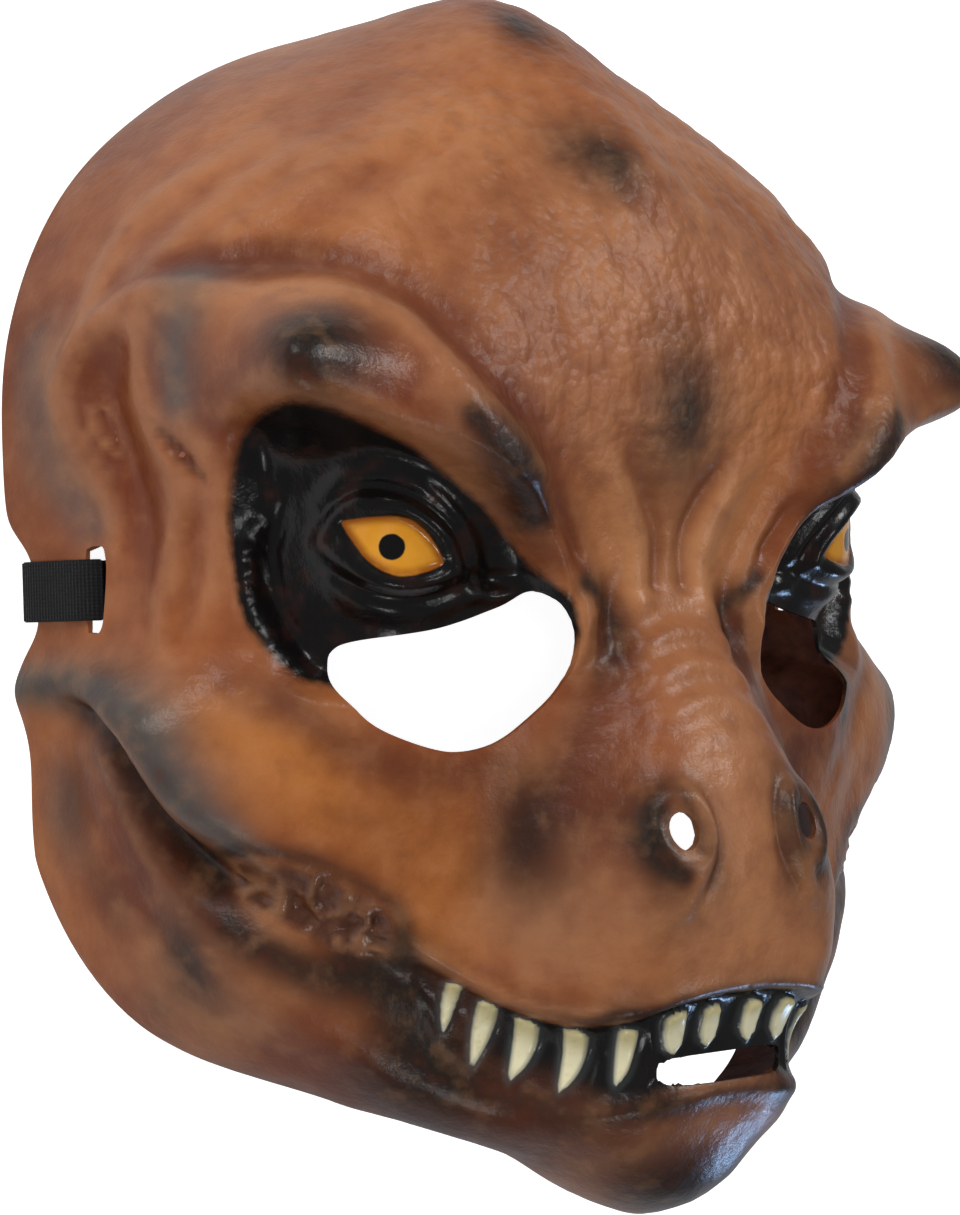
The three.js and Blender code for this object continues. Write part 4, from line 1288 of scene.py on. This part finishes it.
@dataclass
class MaskShell:
    """The whole moulded shell: outer face, inner face, rim and the edges of the openings."""

    skin: Skin = field(default_factory=Skin)
    relief: Relief = field(default_factory=Relief)
    openings: Openings = field(default_factory=Openings)
    wall: float = 1.0
    counted: tuple[int, int] = (2001, 4001)
    inner_step: int = 2
    painted_edge: float = 1.2
    rim_fade: float = 0.03
    across_line: float = -0.25
    across_at: Numbers = (0, 84, 100, 170)
    across_gap: Numbers = (0.78, 0.78, 1.75, 1.75)
    up_line: float = 0.3
    up_at: Numbers = (-125, -92, -88, -64, -58, -26, -20, 34, 42, 100, 160)
    up_gap: Numbers = (1.7, 1.5, 0.72, 0.72, 1.15, 1.1, 0.88, 0.88, 1.25, 1.5, 1.9)

    def lines(self) -> tuple[Array, Array]:
        """Grid lines across and up, closer together where the moulding is fine.

        Returns:
            Places across and places up, each from -1 to 1.
        """
        u, v = np.linspace(0, 1, self.counted[0]), np.linspace(-1, 1, self.counted[1])
        a, _ = self.skin.along(self.skin.plain(u, np.full_like(u, self.across_line)))
        _, b = self.skin.along(self.skin.plain(np.full_like(v, self.up_line), v))
        half = self.spaced(u, a, np.interp(a, self.across_at, self.across_gap))
        up = self.spaced(v, b, np.interp(b, self.up_at, self.up_gap))
        return np.concatenate([-half[:0:-1], half]), up

    @staticmethod
    def spaced(places: Array, distance: Array, gap: Array) -> Array:
        """Places whose distances are a given gap apart.

        Args:
            places: Places to choose from.
            distance: The distance along the skin at each.
            gap: The gap wanted at each.

        Returns:
            The chosen places, an even number of steps, ends included.
        """
        run = np.concatenate([[0], np.cumsum(np.abs(np.diff(distance)) / gap[1:])])
        count = 2 * int(math.ceil(run[-1] / 2))
        return np.interp(np.linspace(0, run[-1], count + 1), run, places)

    def face(self, us: Array, vs: Array, fine: bool) -> tuple[Array, Array, dict[str, Array]]:
        """A grid of points on the finished outer surface, with normals and paint values.

        Args:
            us: Grid lines across.
            vs: Grid lines up.
            fine: Whether teeth, scales and paint are in it.

        Returns:
            Points, unit normals and values, each in grid order.
        """
        u, v = np.meshgrid(us, vs)
        plain = self.skin.plain(u, v)
        a, b = self.skin.along(plain)
        inward = smooth_step(0.0, self.rim_fade, 1 - np.maximum(np.abs(u), np.abs(v)))
        small = self.relief.height(a, b, plain, fine) * inward
        height = self.skin.carving(a, b) + small
        points = plain + self.skin.square_to(u, v) * height[..., None]
        normals = unit(np.cross(np.gradient(points, axis=1), np.gradient(points, axis=0)))
        values = Paintwork(self.relief).values(plain, a, b, small) if fine else {}
        return points, normals, values

    @staticmethod
    def grid_wall(points: Array, values: dict[str, Array], inwards: bool = False) -> Wall:
        """A grid as a wall, each square split along its shorter diagonal.

        Args:
            points: The grid's points.
            values: The values of each point, in grid order or already in a row.
            inwards: Whether the triangles face into the mask.

        Returns:
            The wall.
        """
        tall, wide = points.shape[:2]
        j, i = np.mgrid[0 : tall - 1, 0 : wide - 1]
        a = (j * wide + i).ravel()
        b, c, d = a + 1, a + wide + 1, a + wide
        flat = points.reshape(-1, 3)
        first = ((flat[a] - flat[c]) ** 2).sum(1) <= ((flat[b] - flat[d]) ** 2).sum(1)
        one = np.where(first[:, None], np.stack([a, b, c], 1), np.stack([a, b, d], 1))
        two = np.where(first[:, None], np.stack([a, c, d], 1), np.stack([b, c, d], 1))
        triangles = np.vstack([one, two])
        rows = {k: v.reshape(-1, *v.shape[2:]) for k, v in values.items()}
        return Wall(flat, triangles[:, ::-1] if inwards else triangles, rows)

    def lining(self, us: Array, vs: Array) -> Array:
        """The inner face: the outer one without its finest relief, a wall's thickness in.

        Args:
            us: Grid lines across.
            vs: Grid lines up.

        Returns:
            A grid of points, whose rim lies as high as the outer one's.
        """
        points, n, _ = self.face(us, vs, False)
        for j, i in ((0, 0), (0, -1), (-1, 0), (-1, -1)):
            n[j, i] = n[j, i + 1 if i == 0 else i - 1] + n[j + 1 if j == 0 else j - 1, i]
        n[[0, -1], :, 2] = 0
        n[:, [0, -1], 2] = 0
        back = points - self.wall * unit(n)
        for side in (np.s_[[0, -1], :, 2], np.s_[:, [0, -1], 2]):
            back[side] = points[side]
        return back

    def build(self) -> Thing:
        """Make the closed shell as one object.

        Returns:
            The shell, not yet dressed.
        """
        us, vs = self.lines()
        LOG.info("outer face %d x %d", len(us), len(vs))
        points, _, values = self.face(us, vs, True)
        step = self.inner_step
        back = self.lining(us[::step], vs[::step])
        plain = {k: np.zeros(back.shape[:2] + v.shape[2:]) for k, v in values.items()}
        plain["inside"] += 1.0
        for name in ("socket", "patch", "tooth", "iris", "pupil"):
            plain[name] -= Paintwork.deep
        plain["paint"] += np.array(Tint.INSIDE.light)
        edge = self.openings.at(back) > -self.painted_edge
        for name in ("paint", "inside", "socket", "gum"):
            plain[name][edge] = values[name][::step, ::step][edge]
        outer, inner = self.grid_wall(points, values), self.grid_wall(back, plain, True)
        return self.joined(*(w.trimmed(self.openings.at(w.points)) for w in (outer, inner)))

    @staticmethod
    def joined(outer: Wall, inner: Wall) -> Thing:
        """Both faces with the rim and the openings' edges closed between them.

        Args:
            outer: The outer face.
            inner: The inner face.

        Returns:
            The closed shell.
        """
        shift = len(outer.points)
        outer_loops, inner_loops = outer.loops(), inner.loops()
        LOG.info("edges: %d outside, %d inside", len(outer_loops), len(inner_loops))
        centres = np.array([inner.points[loop].mean(0) for loop in inner_loops])
        faces, crease = [], set()
        for loop in outer_loops:
            ring = outer.points[loop]
            match = int(np.argmin(((centres - ring.mean(0)) ** 2).sum(1)))
            other = inner_loops[match][::-1]
            rings = (loop, [shift + p for p in other])
            for edge in rings:
                crease |= {(min(p, q), max(p, q)) for p, q in zip(edge, edge[1:] + edge[:1])}
            for face in zipped(ring, inner.points[other]):
                faces.append([rings[side][k] for side, k in face])
        points = np.vstack([outer.points, inner.points])
        triangles = np.vstack([outer.triangles, inner.triangles + shift, np.array(faces)])
        values = {k: np.concatenate([outer.values[k], inner.values[k]]) for k in outer.values}
        shell = mesh_object("moulded_mask", points, triangles, values)
        sharp = shell.data.attributes.new("sharp_edge", "BOOLEAN", "EDGE")
        marks = [tuple(sorted(edge.vertices)) in crease for edge in shell.data.edges]
        sharp.data.foreach_set("value", marks)
        LOG.info("shell: %d triangles", len(triangles))
        return shell


# Node trees and finishes


class NodeSheet:
    """A short way to write a node tree."""

    def __init__(self, tree: bpy.types.NodeTree) -> None:
        """Empty the tree and keep it for new nodes."""
        self.tree = tree
        tree.nodes.clear()

    def node(
        self, kind: str, feeds: dict[str | int, Feed] | None = None, **settings: object
    ) -> bpy.types.Node:
        """Add a node.

        Args:
            kind: Blender's name for the node's type.
            feeds: Sockets, numbers or colours for its inputs, by name or number.
            **settings: Properties to set on it.

        Returns:
            The node.
        """
        made = self.tree.nodes.new(kind)
        for key, value in settings.items():
            setattr(made, key, value)
        for key, value in (feeds or {}).items():
            socket = made.inputs[key]
            if isinstance(value, Socket):
                self.tree.links.new(value, socket)
            else:
                value = linear(value) if isinstance(value, str) else value
                socket.default_value = (*value, 1.0) if socket.type == "RGBA" else value
        return made

    def math(self, how: str, one: Feed, other: Feed) -> Socket:
        """One number from two, by a math node's operation."""
        return self.node("ShaderNodeMath", {0: one, 1: other}, operation=how).outputs[0]

    def times(self, one: Feed, other: Feed) -> Socket:
        """Two numbers multiplied."""
        return self.math("MULTIPLY", one, other)

    def plus(self, one: Feed, other: Feed) -> Socket:
        """Two numbers added."""
        return self.math("ADD", one, other)

    def larger(self, one: Feed, other: Feed) -> Socket:
        """The larger of two numbers."""
        return self.math("MAXIMUM", one, other)

    def blend(self, share: Feed, low: Feed, high: Feed) -> Socket:
        """A number between two others."""
        return self.node("ShaderNodeMix", {0: share, 2: low, 3: high}).outputs[0]

    def layered(self, colour: Feed, *coats: tuple[Feed, Feed]) -> Socket:
        """A colour under coats laid on in order, each as its share and its own colour."""
        for share, above in coats:
            # Inputs 6 and 7 and output 2 are where a mix node has its colours.
            feeds = {0: share, 6: colour, 7: above}
            colour = self.node("ShaderNodeMix", feeds, data_type="RGBA").outputs[2]
        return colour

    def step(self, value: Feed, low: float, high: float, most: float = 1.0) -> Socket:
        """A soft step from 0 at low to most at high."""
        feeds = {"Value": value, "From Min": low, "From Max": high, "To Max": most}
        return self.node("ShaderNodeMapRange", feeds, interpolation_type="SMOOTHSTEP").outputs[0]

    def carried(self, name: str, output: str = "Fac") -> Socket:
        """A value that the mesh carries, by its name."""
        return self.node("ShaderNodeAttribute", attribute_name=name).outputs[output]

    def noise(self, where: Feed, scale: float, detail: float, rough: float) -> Socket:
        """Noise from 0 to 1, with so many lumps to a metre."""
        feeds = {"Vector": where, "Scale": scale, "Detail": detail, "Roughness": rough}
        return self.node("ShaderNodeTexNoise", feeds).outputs["Fac"]


@dataclass(frozen=True)
class Finish:
    """A material made of one principled shader and a bump."""

    name: str
    bump: float

    def recipe(self, s: NodeSheet, place: Feed) -> tuple[dict[str, Feed], Feed]:
        """The shader's inputs, and the height that the bump reads."""
        raise NotImplementedError

    def made(self) -> bpy.types.Material:
        """The material.

        Returns:
            A material for the piece.
        """
        material = bpy.data.materials.new(self.name)
        material.use_nodes = True
        s = NodeSheet(material.node_tree)
        feeds, rise = self.recipe(s, s.node("ShaderNodeTexCoord").outputs["Object"])
        bump = s.node("ShaderNodeBump", {"Strength": self.bump, "Distance": 1.0, "Height": rise})
        shader = s.node("ShaderNodeBsdfPrincipled", {**feeds, "Normal": bump.outputs["Normal"]})
        s.node("ShaderNodeOutputMaterial", {"Surface": shader.outputs[0]})
        return material


Coat = tuple[str, Numbers, str]


@dataclass(frozen=True)
class PaintedPlastic(Finish):
    """Thin moulded plastic with airbrushed paint under a satin gloss."""

    name: str = "painted_plastic"
    bump: float = 0.55
    roughness: float = 0.31
    black_roughness: float = 0.22
    iris_roughness: float = 0.16
    tooth_roughness: float = 0.24
    inside_roughness: float = 0.5
    scale_roughness: float = 0.09
    roughness_spread: Span = (-0.06, 0.1)
    ragged: float = 1.2
    calm_black: float = 0.3
    calm_left: float = 0.12
    index: float = 1.48
    gloss: float = 0.45
    skin_coats: tuple[Coat, ...] = (
        ("cloud", (0.45, 0.75, 0.16), Tint.TAN.value),
        ("cloud", (0.52, 0.25, 0.3), Tint.RED_BROWN.value),
        ("speck", (0.6, 0.75, 0.12), Tint.DARK_RED.value),
    )
    socket: str = "#0e0c0b"
    socket_coats: tuple[Coat, ...] = (("cloud", (0.5, 0.7), "#26130f"),)
    gum_black: str = "#12100f"
    crinkle_dark: str = "#2c1a14"
    # The crinkled patch: dark brown, with pale streaks laid at random as painted highlight.
    crinkle_highlight: str = "#7d5742"
    crinkle_share: float = 0.3
    tooth_halo: str = "#565b5c"
    halo_edge: Place = (-1.8, 0.3, 0.28)
    tooth_edge: Span = (0.05, 0.55)
    ivory: str = "#d8d0ac"
    ivory_coats: tuple[Coat, ...] = (
        ("fang", (0.45, 0.0), "#c2b687"),
        ("tooth", (1.2, 0.3, 0.6), "#6d7472"),
        ("streak", (0.5, 0.75, 0.35), "#a8935a"),
    )
    iris: str = "#cf8a22"
    iris_coats: tuple[Coat, ...] = (
        ("iris", (2.2, 0.2), "#8a4a10"),
        ("cloud", (0.45, 0.7, 0.4), "#d89a38"),
    )
    pupil: str = "#0b0a0a"
    inside_edge: Span = (0.4, 0.6)
    inside_coats: tuple[Coat, ...] = (("cloud", (0.35, 0.7), "#5d362c"),)
    ragged_edges: tuple[tuple[str, float, Span], ...] = (
        ("socket", 1.0, (-1.1, 0.9)),
        ("patch", 1.0, (-1.2, 0.6)),
        ("iris", 0.25, (-0.15, 0.25)),
        ("pupil", 0.3, (-0.15, 0.2)),
    )
    speck_noise: Place = (900, 4, 0.6)
    cloud_noise: Place = (150, 5, 0.55)
    streak_noise: Place = (420, 4, 0.6)
    grain_noise: Place = (260, 5, 0.6)
    peel_noise: Place = (1500, 2, 0.5)
    bead_scale: float = 420
    bead_height: float = -0.0005
    grain_height: float = 0.0006
    peel_height: float = 0.00006

    def paint(self, s: NodeSheet, read: dict[str, Feed], masks: dict[str, Feed]) -> Feed:
        """The colour of the surface.

        Args:
            s: The sheet to add nodes to.
            read: The noises and the carried values that coats of paint follow.
            masks: How much of each painted part shows.

        Returns:
            The colour.
        """

        def coated(colour: Feed, coats: tuple[Coat, ...]) -> Socket:
            """A colour under coats, each shown by a soft step of what it follows."""
            return s.layered(colour, *((s.step(read[name], *at), over) for name, at, over in coats))

        # Painted highlight: pale streaks over the crinkled patch's dark brown.
        crinkle = s.layered(self.crinkle_dark, (read["streak"], self.crinkle_highlight))
        amber = s.layered(coated(self.iris, self.iris_coats), (masks["pupil"], self.pupil))
        lining = coated(Tint.INSIDE.value, self.inside_coats)
        return s.layered(
            coated(s.carried("paint", "Color"), self.skin_coats),
            (masks["socket"], coated(self.socket, self.socket_coats)),
            (masks["gum"], self.gum_black),
            (s.times(masks["patch"], self.crinkle_share), crinkle),
            (s.step(read["tooth"], *self.halo_edge), self.tooth_halo),
            (masks["tooth"], coated(self.ivory, self.ivory_coats)),
            (masks["iris"], amber),
            (s.step(masks["inside"], *self.inside_edge), lining),
        )

    def recipe(self, s: NodeSheet, place: Feed) -> tuple[dict[str, Feed], Feed]:
        """The shader's inputs, and the height that the bump reads.

        Args:
            s: The sheet to add nodes to.
            place: Object coordinates.

        Returns:
            The inputs by name, and the height.
        """
        read = {name: s.carried(name) for name in ("tooth", "fang", "iris", "scales")}
        noises = {"cloud": self.cloud_noise, "streak": self.streak_noise, "speck": self.speck_noise}
        read.update({name: s.noise(place, *noise) for name, noise in noises.items()})
        ragged = s.times(s.math("SUBTRACT", read["streak"], 0.5), self.ragged)
        masks = {name: s.carried(name) for name in ("gum", "inside")}
        masks["tooth"] = s.step(read["tooth"], *self.tooth_edge)
        for name, waver, at in self.ragged_edges:
            masks[name] = s.step(s.plus(s.carried(name), s.times(ragged, waver)), *at)
        black = s.larger(masks["socket"], masks["gum"])
        rough = s.blend(read["streak"], *(self.roughness + more for more in self.roughness_spread))
        rough = s.plus(rough, s.times(read["scales"], self.scale_roughness))
        for mask, value in (
            (s.larger(black, masks["patch"]), self.black_roughness),
            (masks["iris"], self.iris_roughness),
            (masks["tooth"], self.tooth_roughness),
            (masks["inside"], self.inside_roughness),
        ):
            rough = s.blend(mask, rough, value)
        bead = s.node("ShaderNodeTexVoronoi", {"Vector": place, "Scale": self.bead_scale})
        bead = s.times(bead.outputs["Distance"], s.times(read["scales"], self.bead_height))
        grain = s.times(s.noise(place, *self.grain_noise), self.grain_height)
        peel = s.times(s.noise(place, *self.peel_noise), self.peel_height)
        calm = s.larger(s.larger(masks["iris"], masks["tooth"]), s.times(black, self.calm_black))
        rise = s.times(s.plus(s.plus(bead, grain), peel), s.blend(calm, 1.0, self.calm_left))
        feeds = {"Base Color": self.paint(s, read, masks), "Roughness": rough}
        return {**feeds, "IOR": self.index, "Specular IOR Level": self.gloss}, rise


@dataclass(frozen=True)
class WovenElastic(Finish):
    """Black woven elastic: ribbed across, with a dull sheen."""

    name: str = "black_elastic"
    bump: float = 0.8
    colour: str = "#0f0f10"
    lighter: str = "#1f1f22"
    roughness: Span = (0.7, 0.95)
    sheen: float = 0.25
    sheen_roughness: float = 0.4
    warp_scale: float = 420
    warp_waver: float = 1.5
    warp_height: float = 0.00012
    fuzz_noise: Place = (3200, 3, 0.7)
    fuzz_height: float = 0.0001

    def recipe(self, s: NodeSheet, place: Feed) -> tuple[dict[str, Feed], Feed]:
        """The shader's inputs, and the height that the bump reads.

        Args:
            s: The sheet to add nodes to.
            place: Object coordinates.

        Returns:
            The inputs by name, and the height.
        """
        feeds = {"Vector": place, "Scale": self.warp_scale, "Distortion": self.warp_waver}
        wave = s.node("ShaderNodeTexWave", feeds, wave_type="BANDS", bands_direction="Y")
        warp, fuzz = wave.outputs["Fac"], s.noise(place, *self.fuzz_noise)
        colour = s.layered(self.colour, (s.times(warp, fuzz), self.lighter))
        rise = s.plus(s.times(warp, self.warp_height), s.times(fuzz, self.fuzz_height))
        feeds = {"Base Color": colour, "Roughness": s.blend(fuzz, *self.roughness)}
        return {**feeds, "Sheen Weight": self.sheen, "Sheen Roughness": self.sheen_roughness}, rise


# The strap


@dataclass
class ElasticStrap:
    """The flat elastic band: through the slots, round the rim and back, then across below."""

    width: float = 12.7
    thickness: float = 1.2
    corner: float = 0.4
    corner_rise: float = 0.5
    up: float = 3.0
    end: Rows = (
        (84, 3), (90, 3.2), (94, 4.3), (97, 7.2), (98.5, 11), (98.2, 17), (97.2, 22), (97.3, 24.6),
            (98.7, 26.2), (100.3, 25.4), (101.5, 22.6), (102.4, 17), (103.2, 11), (103.4, 7.4),
            (102.7, 4.8), (100.8, 3.5), (97.5, 2.7), (92, 1.8), (84, 1.3), (70, 1), (53, 0.95),
            (35, 0.95), (17, 0.95),
    )
    bow: float = 8.0
    bow_half: float = 84.0
    bow_power: float = 1.5
    rib_pitch: float = 0.9
    rib_radius: float = 0.28
    rib_margin: float = 0.25
    rib_sides: int = 6
    rib_room: float = 0.5
    rib_sunk: float = 0.75
    sharp_deg: float = 50.0

    def line(self) -> Array:
        """The band's middle line, sewn end to sewn end, as points across and up off the table."""
        near = np.array(self.end, float)
        return smooth_rows(np.vstack([near, near[::-1] * np.array([-1.0, 1.0])]), steps=4)

    def place_up(self, across: Array) -> Array:
        """How far up the face the band's middle lies, with the bow of its run below the mask."""
        share = np.clip(1 - (across / self.bow_half) ** 2, 0, 1)
        return self.up + self.bow * share**self.bow_power

    @staticmethod
    def outwards(line: Array) -> Array:
        """Unit vectors square to a line, towards its left."""
        along = unit(np.gradient(line, axis=0))
        return np.column_stack([-along[:, 1], along[:, 0]])

    def band(self) -> Thing:
        """The plain band, with rounded edges.

        Returns:
            Its object.
        """
        line, square = self.line(), self.outwards(self.line())
        w, t = self.width / 2, self.thickness / 2 - self.rib_radius * self.rib_room
        inset, low = w - self.corner, -t * self.corner_rise
        half = [(-w, low), (-inset, -t), (0, -t), (inset, -t), (w, low)]
        section = half + [(across, -rise) for across, rise in reversed(half)]
        ups = self.place_up(line[:, 0])
        rings = []
        for across, rise in section:
            x, z = (line + rise * square).T
            rings.append(np.column_stack([x, ups + across, z]))
        n, k = len(line), len(section)
        faces = []
        for i in range(0, (n - 1) * k, k):
            for j in range(k):
                m = (j + 1) % k
                faces += [(i + j, i + m, i + k + m), (i + j, i + k + m, i + k + j)]
        for j in range(1, k - 1):
            faces += [(0, j + 1, j), ((n - 1) * k, (n - 1) * k + j, (n - 1) * k + j + 1)]
        band = mesh_object("elastic_band", np.stack(rings, axis=1).reshape(-1, 3), np.array(faces))
        work = bmesh.new()
        work.from_mesh(band.data)
        bmesh.ops.recalc_face_normals(work, faces=work.faces)
        work.to_mesh(band.data)
        work.free()
        return band

    def rib_tree(self) -> bpy.types.NodeTree:
        """The node tree that lays woven ribs across a line at an even pitch.

        Returns:
            A geometry tree with named inputs.
        """
        tree = bpy.data.node_groups.new("woven_ribs", "GeometryNodeTree")
        for name, kind in (
            ("Line", "Geometry"), ("Pitch", "Float"), ("Radius", "Float"), ("Length", "Float"),
            ("Sides", "Int"), ("Material", "Material"),
        ):
            tree.interface.new_socket(name, in_out="INPUT", socket_type=f"NodeSocket{kind}")
        tree.interface.new_socket("Geometry", in_out="OUTPUT", socket_type="NodeSocketGeometry")
        s = NodeSheet(tree)
        given = s.node("NodeGroupInput").outputs
        feeds = {"Curve": given["Line"], "Length": given["Pitch"]}
        spaced = s.node("GeometryNodeResampleCurve", feeds, mode="LENGTH")
        feeds = {"Vertices": given["Sides"], "Radius": given["Radius"], "Depth": given["Length"]}
        bar = s.node("GeometryNodeMeshCylinder", feeds).outputs["Mesh"]
        turn = (math.pi / 2, 0, 0)
        turned = s.node("GeometryNodeTransform", {"Geometry": bar, "Rotation": turn}).outputs[0]
        feeds = {"Points": spaced.outputs["Curve"], "Instance": turned}
        laid = s.node("GeometryNodeInstanceOnPoints", feeds).outputs["Instances"]
        real = s.node("GeometryNodeRealizeInstances", {"Geometry": laid}).outputs["Geometry"]
        feeds = {"Geometry": real, "Material": given["Material"]}
        dressed = s.node("GeometryNodeSetMaterial", feeds).outputs["Geometry"]
        s.node("NodeGroupOutput", {"Geometry": dressed})
        return tree

    def ribs(self, rise: float, material: bpy.types.Material) -> Thing:
        """Ribs across one face of the band.

        Args:
            rise: How far from the middle line the ribs lie, towards one face.
            material: Their finish.

        Returns:
            The ribs as a plain mesh.
        """
        line = self.line()
        moved = line + rise * self.outwards(line)
        curve = bpy.data.curves.new("rib_line", "CURVE")
        curve.dimensions = "3D"
        spline = curve.splines.new("POLY")
        spline.points.add(len(moved) - 1)
        for point, (x, z), up in zip(spline.points, moved, self.place_up(line[:, 0])):
            point.co = (x * MM, up * MM, z * MM, 1.0)
        holder = linked("rib_line", curve)
        modifier = holder.modifiers.new("ribs", "NODES")
        modifier.node_group = self.rib_tree()
        given = {
            "Pitch": self.rib_pitch * MM, "Radius": self.rib_radius * MM,
            "Length": (self.width - 2 * self.rib_margin) * MM, "Sides": self.rib_sides,
            "Material": material,
        }
        for item in modifier.node_group.interface.items_tree:
            if item.in_out == "INPUT" and item.name in given:
                modifier[item.identifier] = given[item.name]
        graph = bpy.context.evaluated_depsgraph_get()
        mesh = bpy.data.meshes.new_from_object(holder.evaluated_get(graph))
        bpy.data.objects.remove(holder)
        return linked("strap_ribs", mesh)

    def build(self, material: bpy.types.Material) -> Thing:
        """Make the whole strap as one object.

        Args:
            material: Its finish.

        Returns:
            The strap.
        """
        off = self.thickness / 2 - self.rib_radius * self.rib_sunk
        parts = [self.band(), self.ribs(-off, material), self.ribs(off, material)]
        work = bmesh.new()
        for part in parts:
            work.from_mesh(part.data)
            bpy.data.objects.remove(part)
        mesh = bpy.data.meshes.new("woven_strap")
        work.to_mesh(mesh)
        work.free()
        mesh.materials.append(material)
        mesh.shade_smooth()
        mesh.set_sharp_from_angle(angle=math.radians(self.sharp_deg))
        LOG.info("strap: %d faces", len(mesh.polygons))
        return linked("woven_strap", mesh)

    def path(self) -> list[list[float]]:
        """The middle line as points in metres."""
        line = self.line()
        ups = self.place_up(line[:, 0])
        return [[float(x) * MM, float(y) * MM, float(z) * MM] for (x, z), y in zip(line, ups)]


# The studio


@dataclass(frozen=True)
class Camera:
    """The camera, at the photograph's viewing angle."""

    place: Place = (-501.486, -3.0606, 628.403)
    right: Place = (0.76569, -0.03054, 0.64249)
    up: Place = (0.02339, 0.99953, 0.01963)
    back: Place = (-0.64279, 0.0, 0.76604)
    focus_px: float = 3491.135
    longest_px: float = 1215.0
    sensor: float = 36.0

    def build(self) -> None:
        """Make the camera and use it."""
        lens = bpy.data.cameras.new("camera")
        lens.sensor_width = self.sensor
        lens.lens = self.focus_px * self.sensor / self.longest_px
        camera = linked("camera", lens)
        turn = Matrix((self.right, self.up, self.back)).transposed()
        camera.matrix_world = Matrix.Translation(Vector(self.place) * MM) @ turn.to_4x4()
        bpy.context.scene.camera = camera


@dataclass(frozen=True)
class Softbox:
    """One soft light: its place, size, strength and colour, and whether gloss shows it."""

    name: str
    place: Place
    size: float
    watts: float
    colour: Place = (1.0, 1.0, 1.0)
    in_gloss: bool = True
    aim: Place = (0.0, 0.0, 0.05)

    def build(self) -> None:
        """Make the light, aimed at the mask."""
        lamp = bpy.data.lights.new(self.name, "AREA")
        lamp.shape = "SQUARE"
        lamp.size, lamp.energy, lamp.color = self.size, self.watts, self.colour
        light = linked(self.name, lamp)
        light.location = self.place
        aim = Vector(self.aim) - Vector(self.place)
        light.rotation_euler = aim.to_track_quat("-Z", "Y").to_euler()
        light.visible_glossy = self.in_gloss


@dataclass
class Studio:
    """The plain pale floor and the soft lights."""

    floor_half: float = 3.0
    floor_drop: float = 0.0004
    floor_pale: Place = (0.62, 0.62, 0.62)
    floor_roughness: float = 0.9
    floor_glow: float = 0.94
    surround: float = 0.16
    surround_colour: Numbers = (0.95, 0.97, 1.0, 1.0)
    softboxes: tuple[Softbox, ...] = (
        Softbox("key", (0.55, 0.7, 1.0), 0.26, 3.6),
        Softbox("key_fill", (0.5, 0.7, 1.0), 0.4, 2.4, in_gloss=False),
        Softbox("window", (-0.45, 0.85, 0.6), 0.2, 1.8),
        Softbox("crown_side", (-0.9, 0.75, 0.7), 0.5, 6.6, in_gloss=False),
        Softbox("side", (-1.3, -0.15, 0.35), 0.6, 4.4, in_gloss=False),
        Softbox("overhead", (0.45, -0.06, 1.1), 0.12, 0.9),
        Softbox("low", (-0.4, -1.0, 0.75), 0.12, 1.2),
        Softbox("front", (-0.75, -0.1, 1.0), 0.4, 2.5, in_gloss=False),
        Softbox("cool", (0.8, -0.72, 0.2), 0.15, 2.2, (0.4, 0.62, 1.0)),
    )

    def floor(self) -> Thing:
        """The pale floor, which glows for the camera only.

        Returns:
            Its object.
        """
        h = self.floor_half
        mesh = bpy.data.meshes.new("floor")
        mesh.from_pydata([(-h, -h, 0), (h, -h, 0), (h, h, 0), (-h, h, 0)], [], [(0, 1, 2, 3)])
        material = bpy.data.materials.new("pale_floor")
        material.use_nodes = True
        s = NodeSheet(material.node_tree)
        seen = s.node("ShaderNodeLightPath").outputs["Is Camera Ray"]
        shader = s.node("ShaderNodeBsdfPrincipled", {
            "Base Color": self.floor_pale, "Roughness": self.floor_roughness,
            "Emission Color": (1, 1, 1), "Emission Strength": s.times(seen, self.floor_glow),
        })
        s.node("ShaderNodeOutputMaterial", {"Surface": shader.outputs[0]})
        mesh.materials.append(material)
        floor = linked("floor", mesh)
        floor.location = (0, 0, -self.floor_drop)
        return floor

    def build(self) -> None:
        """Make the floor, the lights and the surrounding light."""
        self.floor()
        for softbox in self.softboxes:
            softbox.build()
        world = bpy.data.worlds.new("studio")
        world.use_nodes = True
        around = world.node_tree.nodes["Background"].inputs
        around[0].default_value, around[1].default_value = self.surround_colour, self.surround
        bpy.context.scene.world = world
        bpy.context.scene.view_settings.view_transform = "Standard"


def main() -> None:
    """Build the strap, the shell and the studio in order."""
    Camera().build()
    strap_form = ElasticStrap()
    strap = strap_form.build(WovenElastic().made())
    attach(strap, ROOT)
    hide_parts("elastic_strap")
    path = strap_form.path()
    long = sum(math.dist(p, q) for p, q in zip(path, path[1:]))
    shell = MaskShell().build()
    shell.data.materials.append(PaintedPlastic().made())
    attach(shell, ROOT)
    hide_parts("mask_shell")
    Studio().build()


if __name__ == "__main__":
    main()
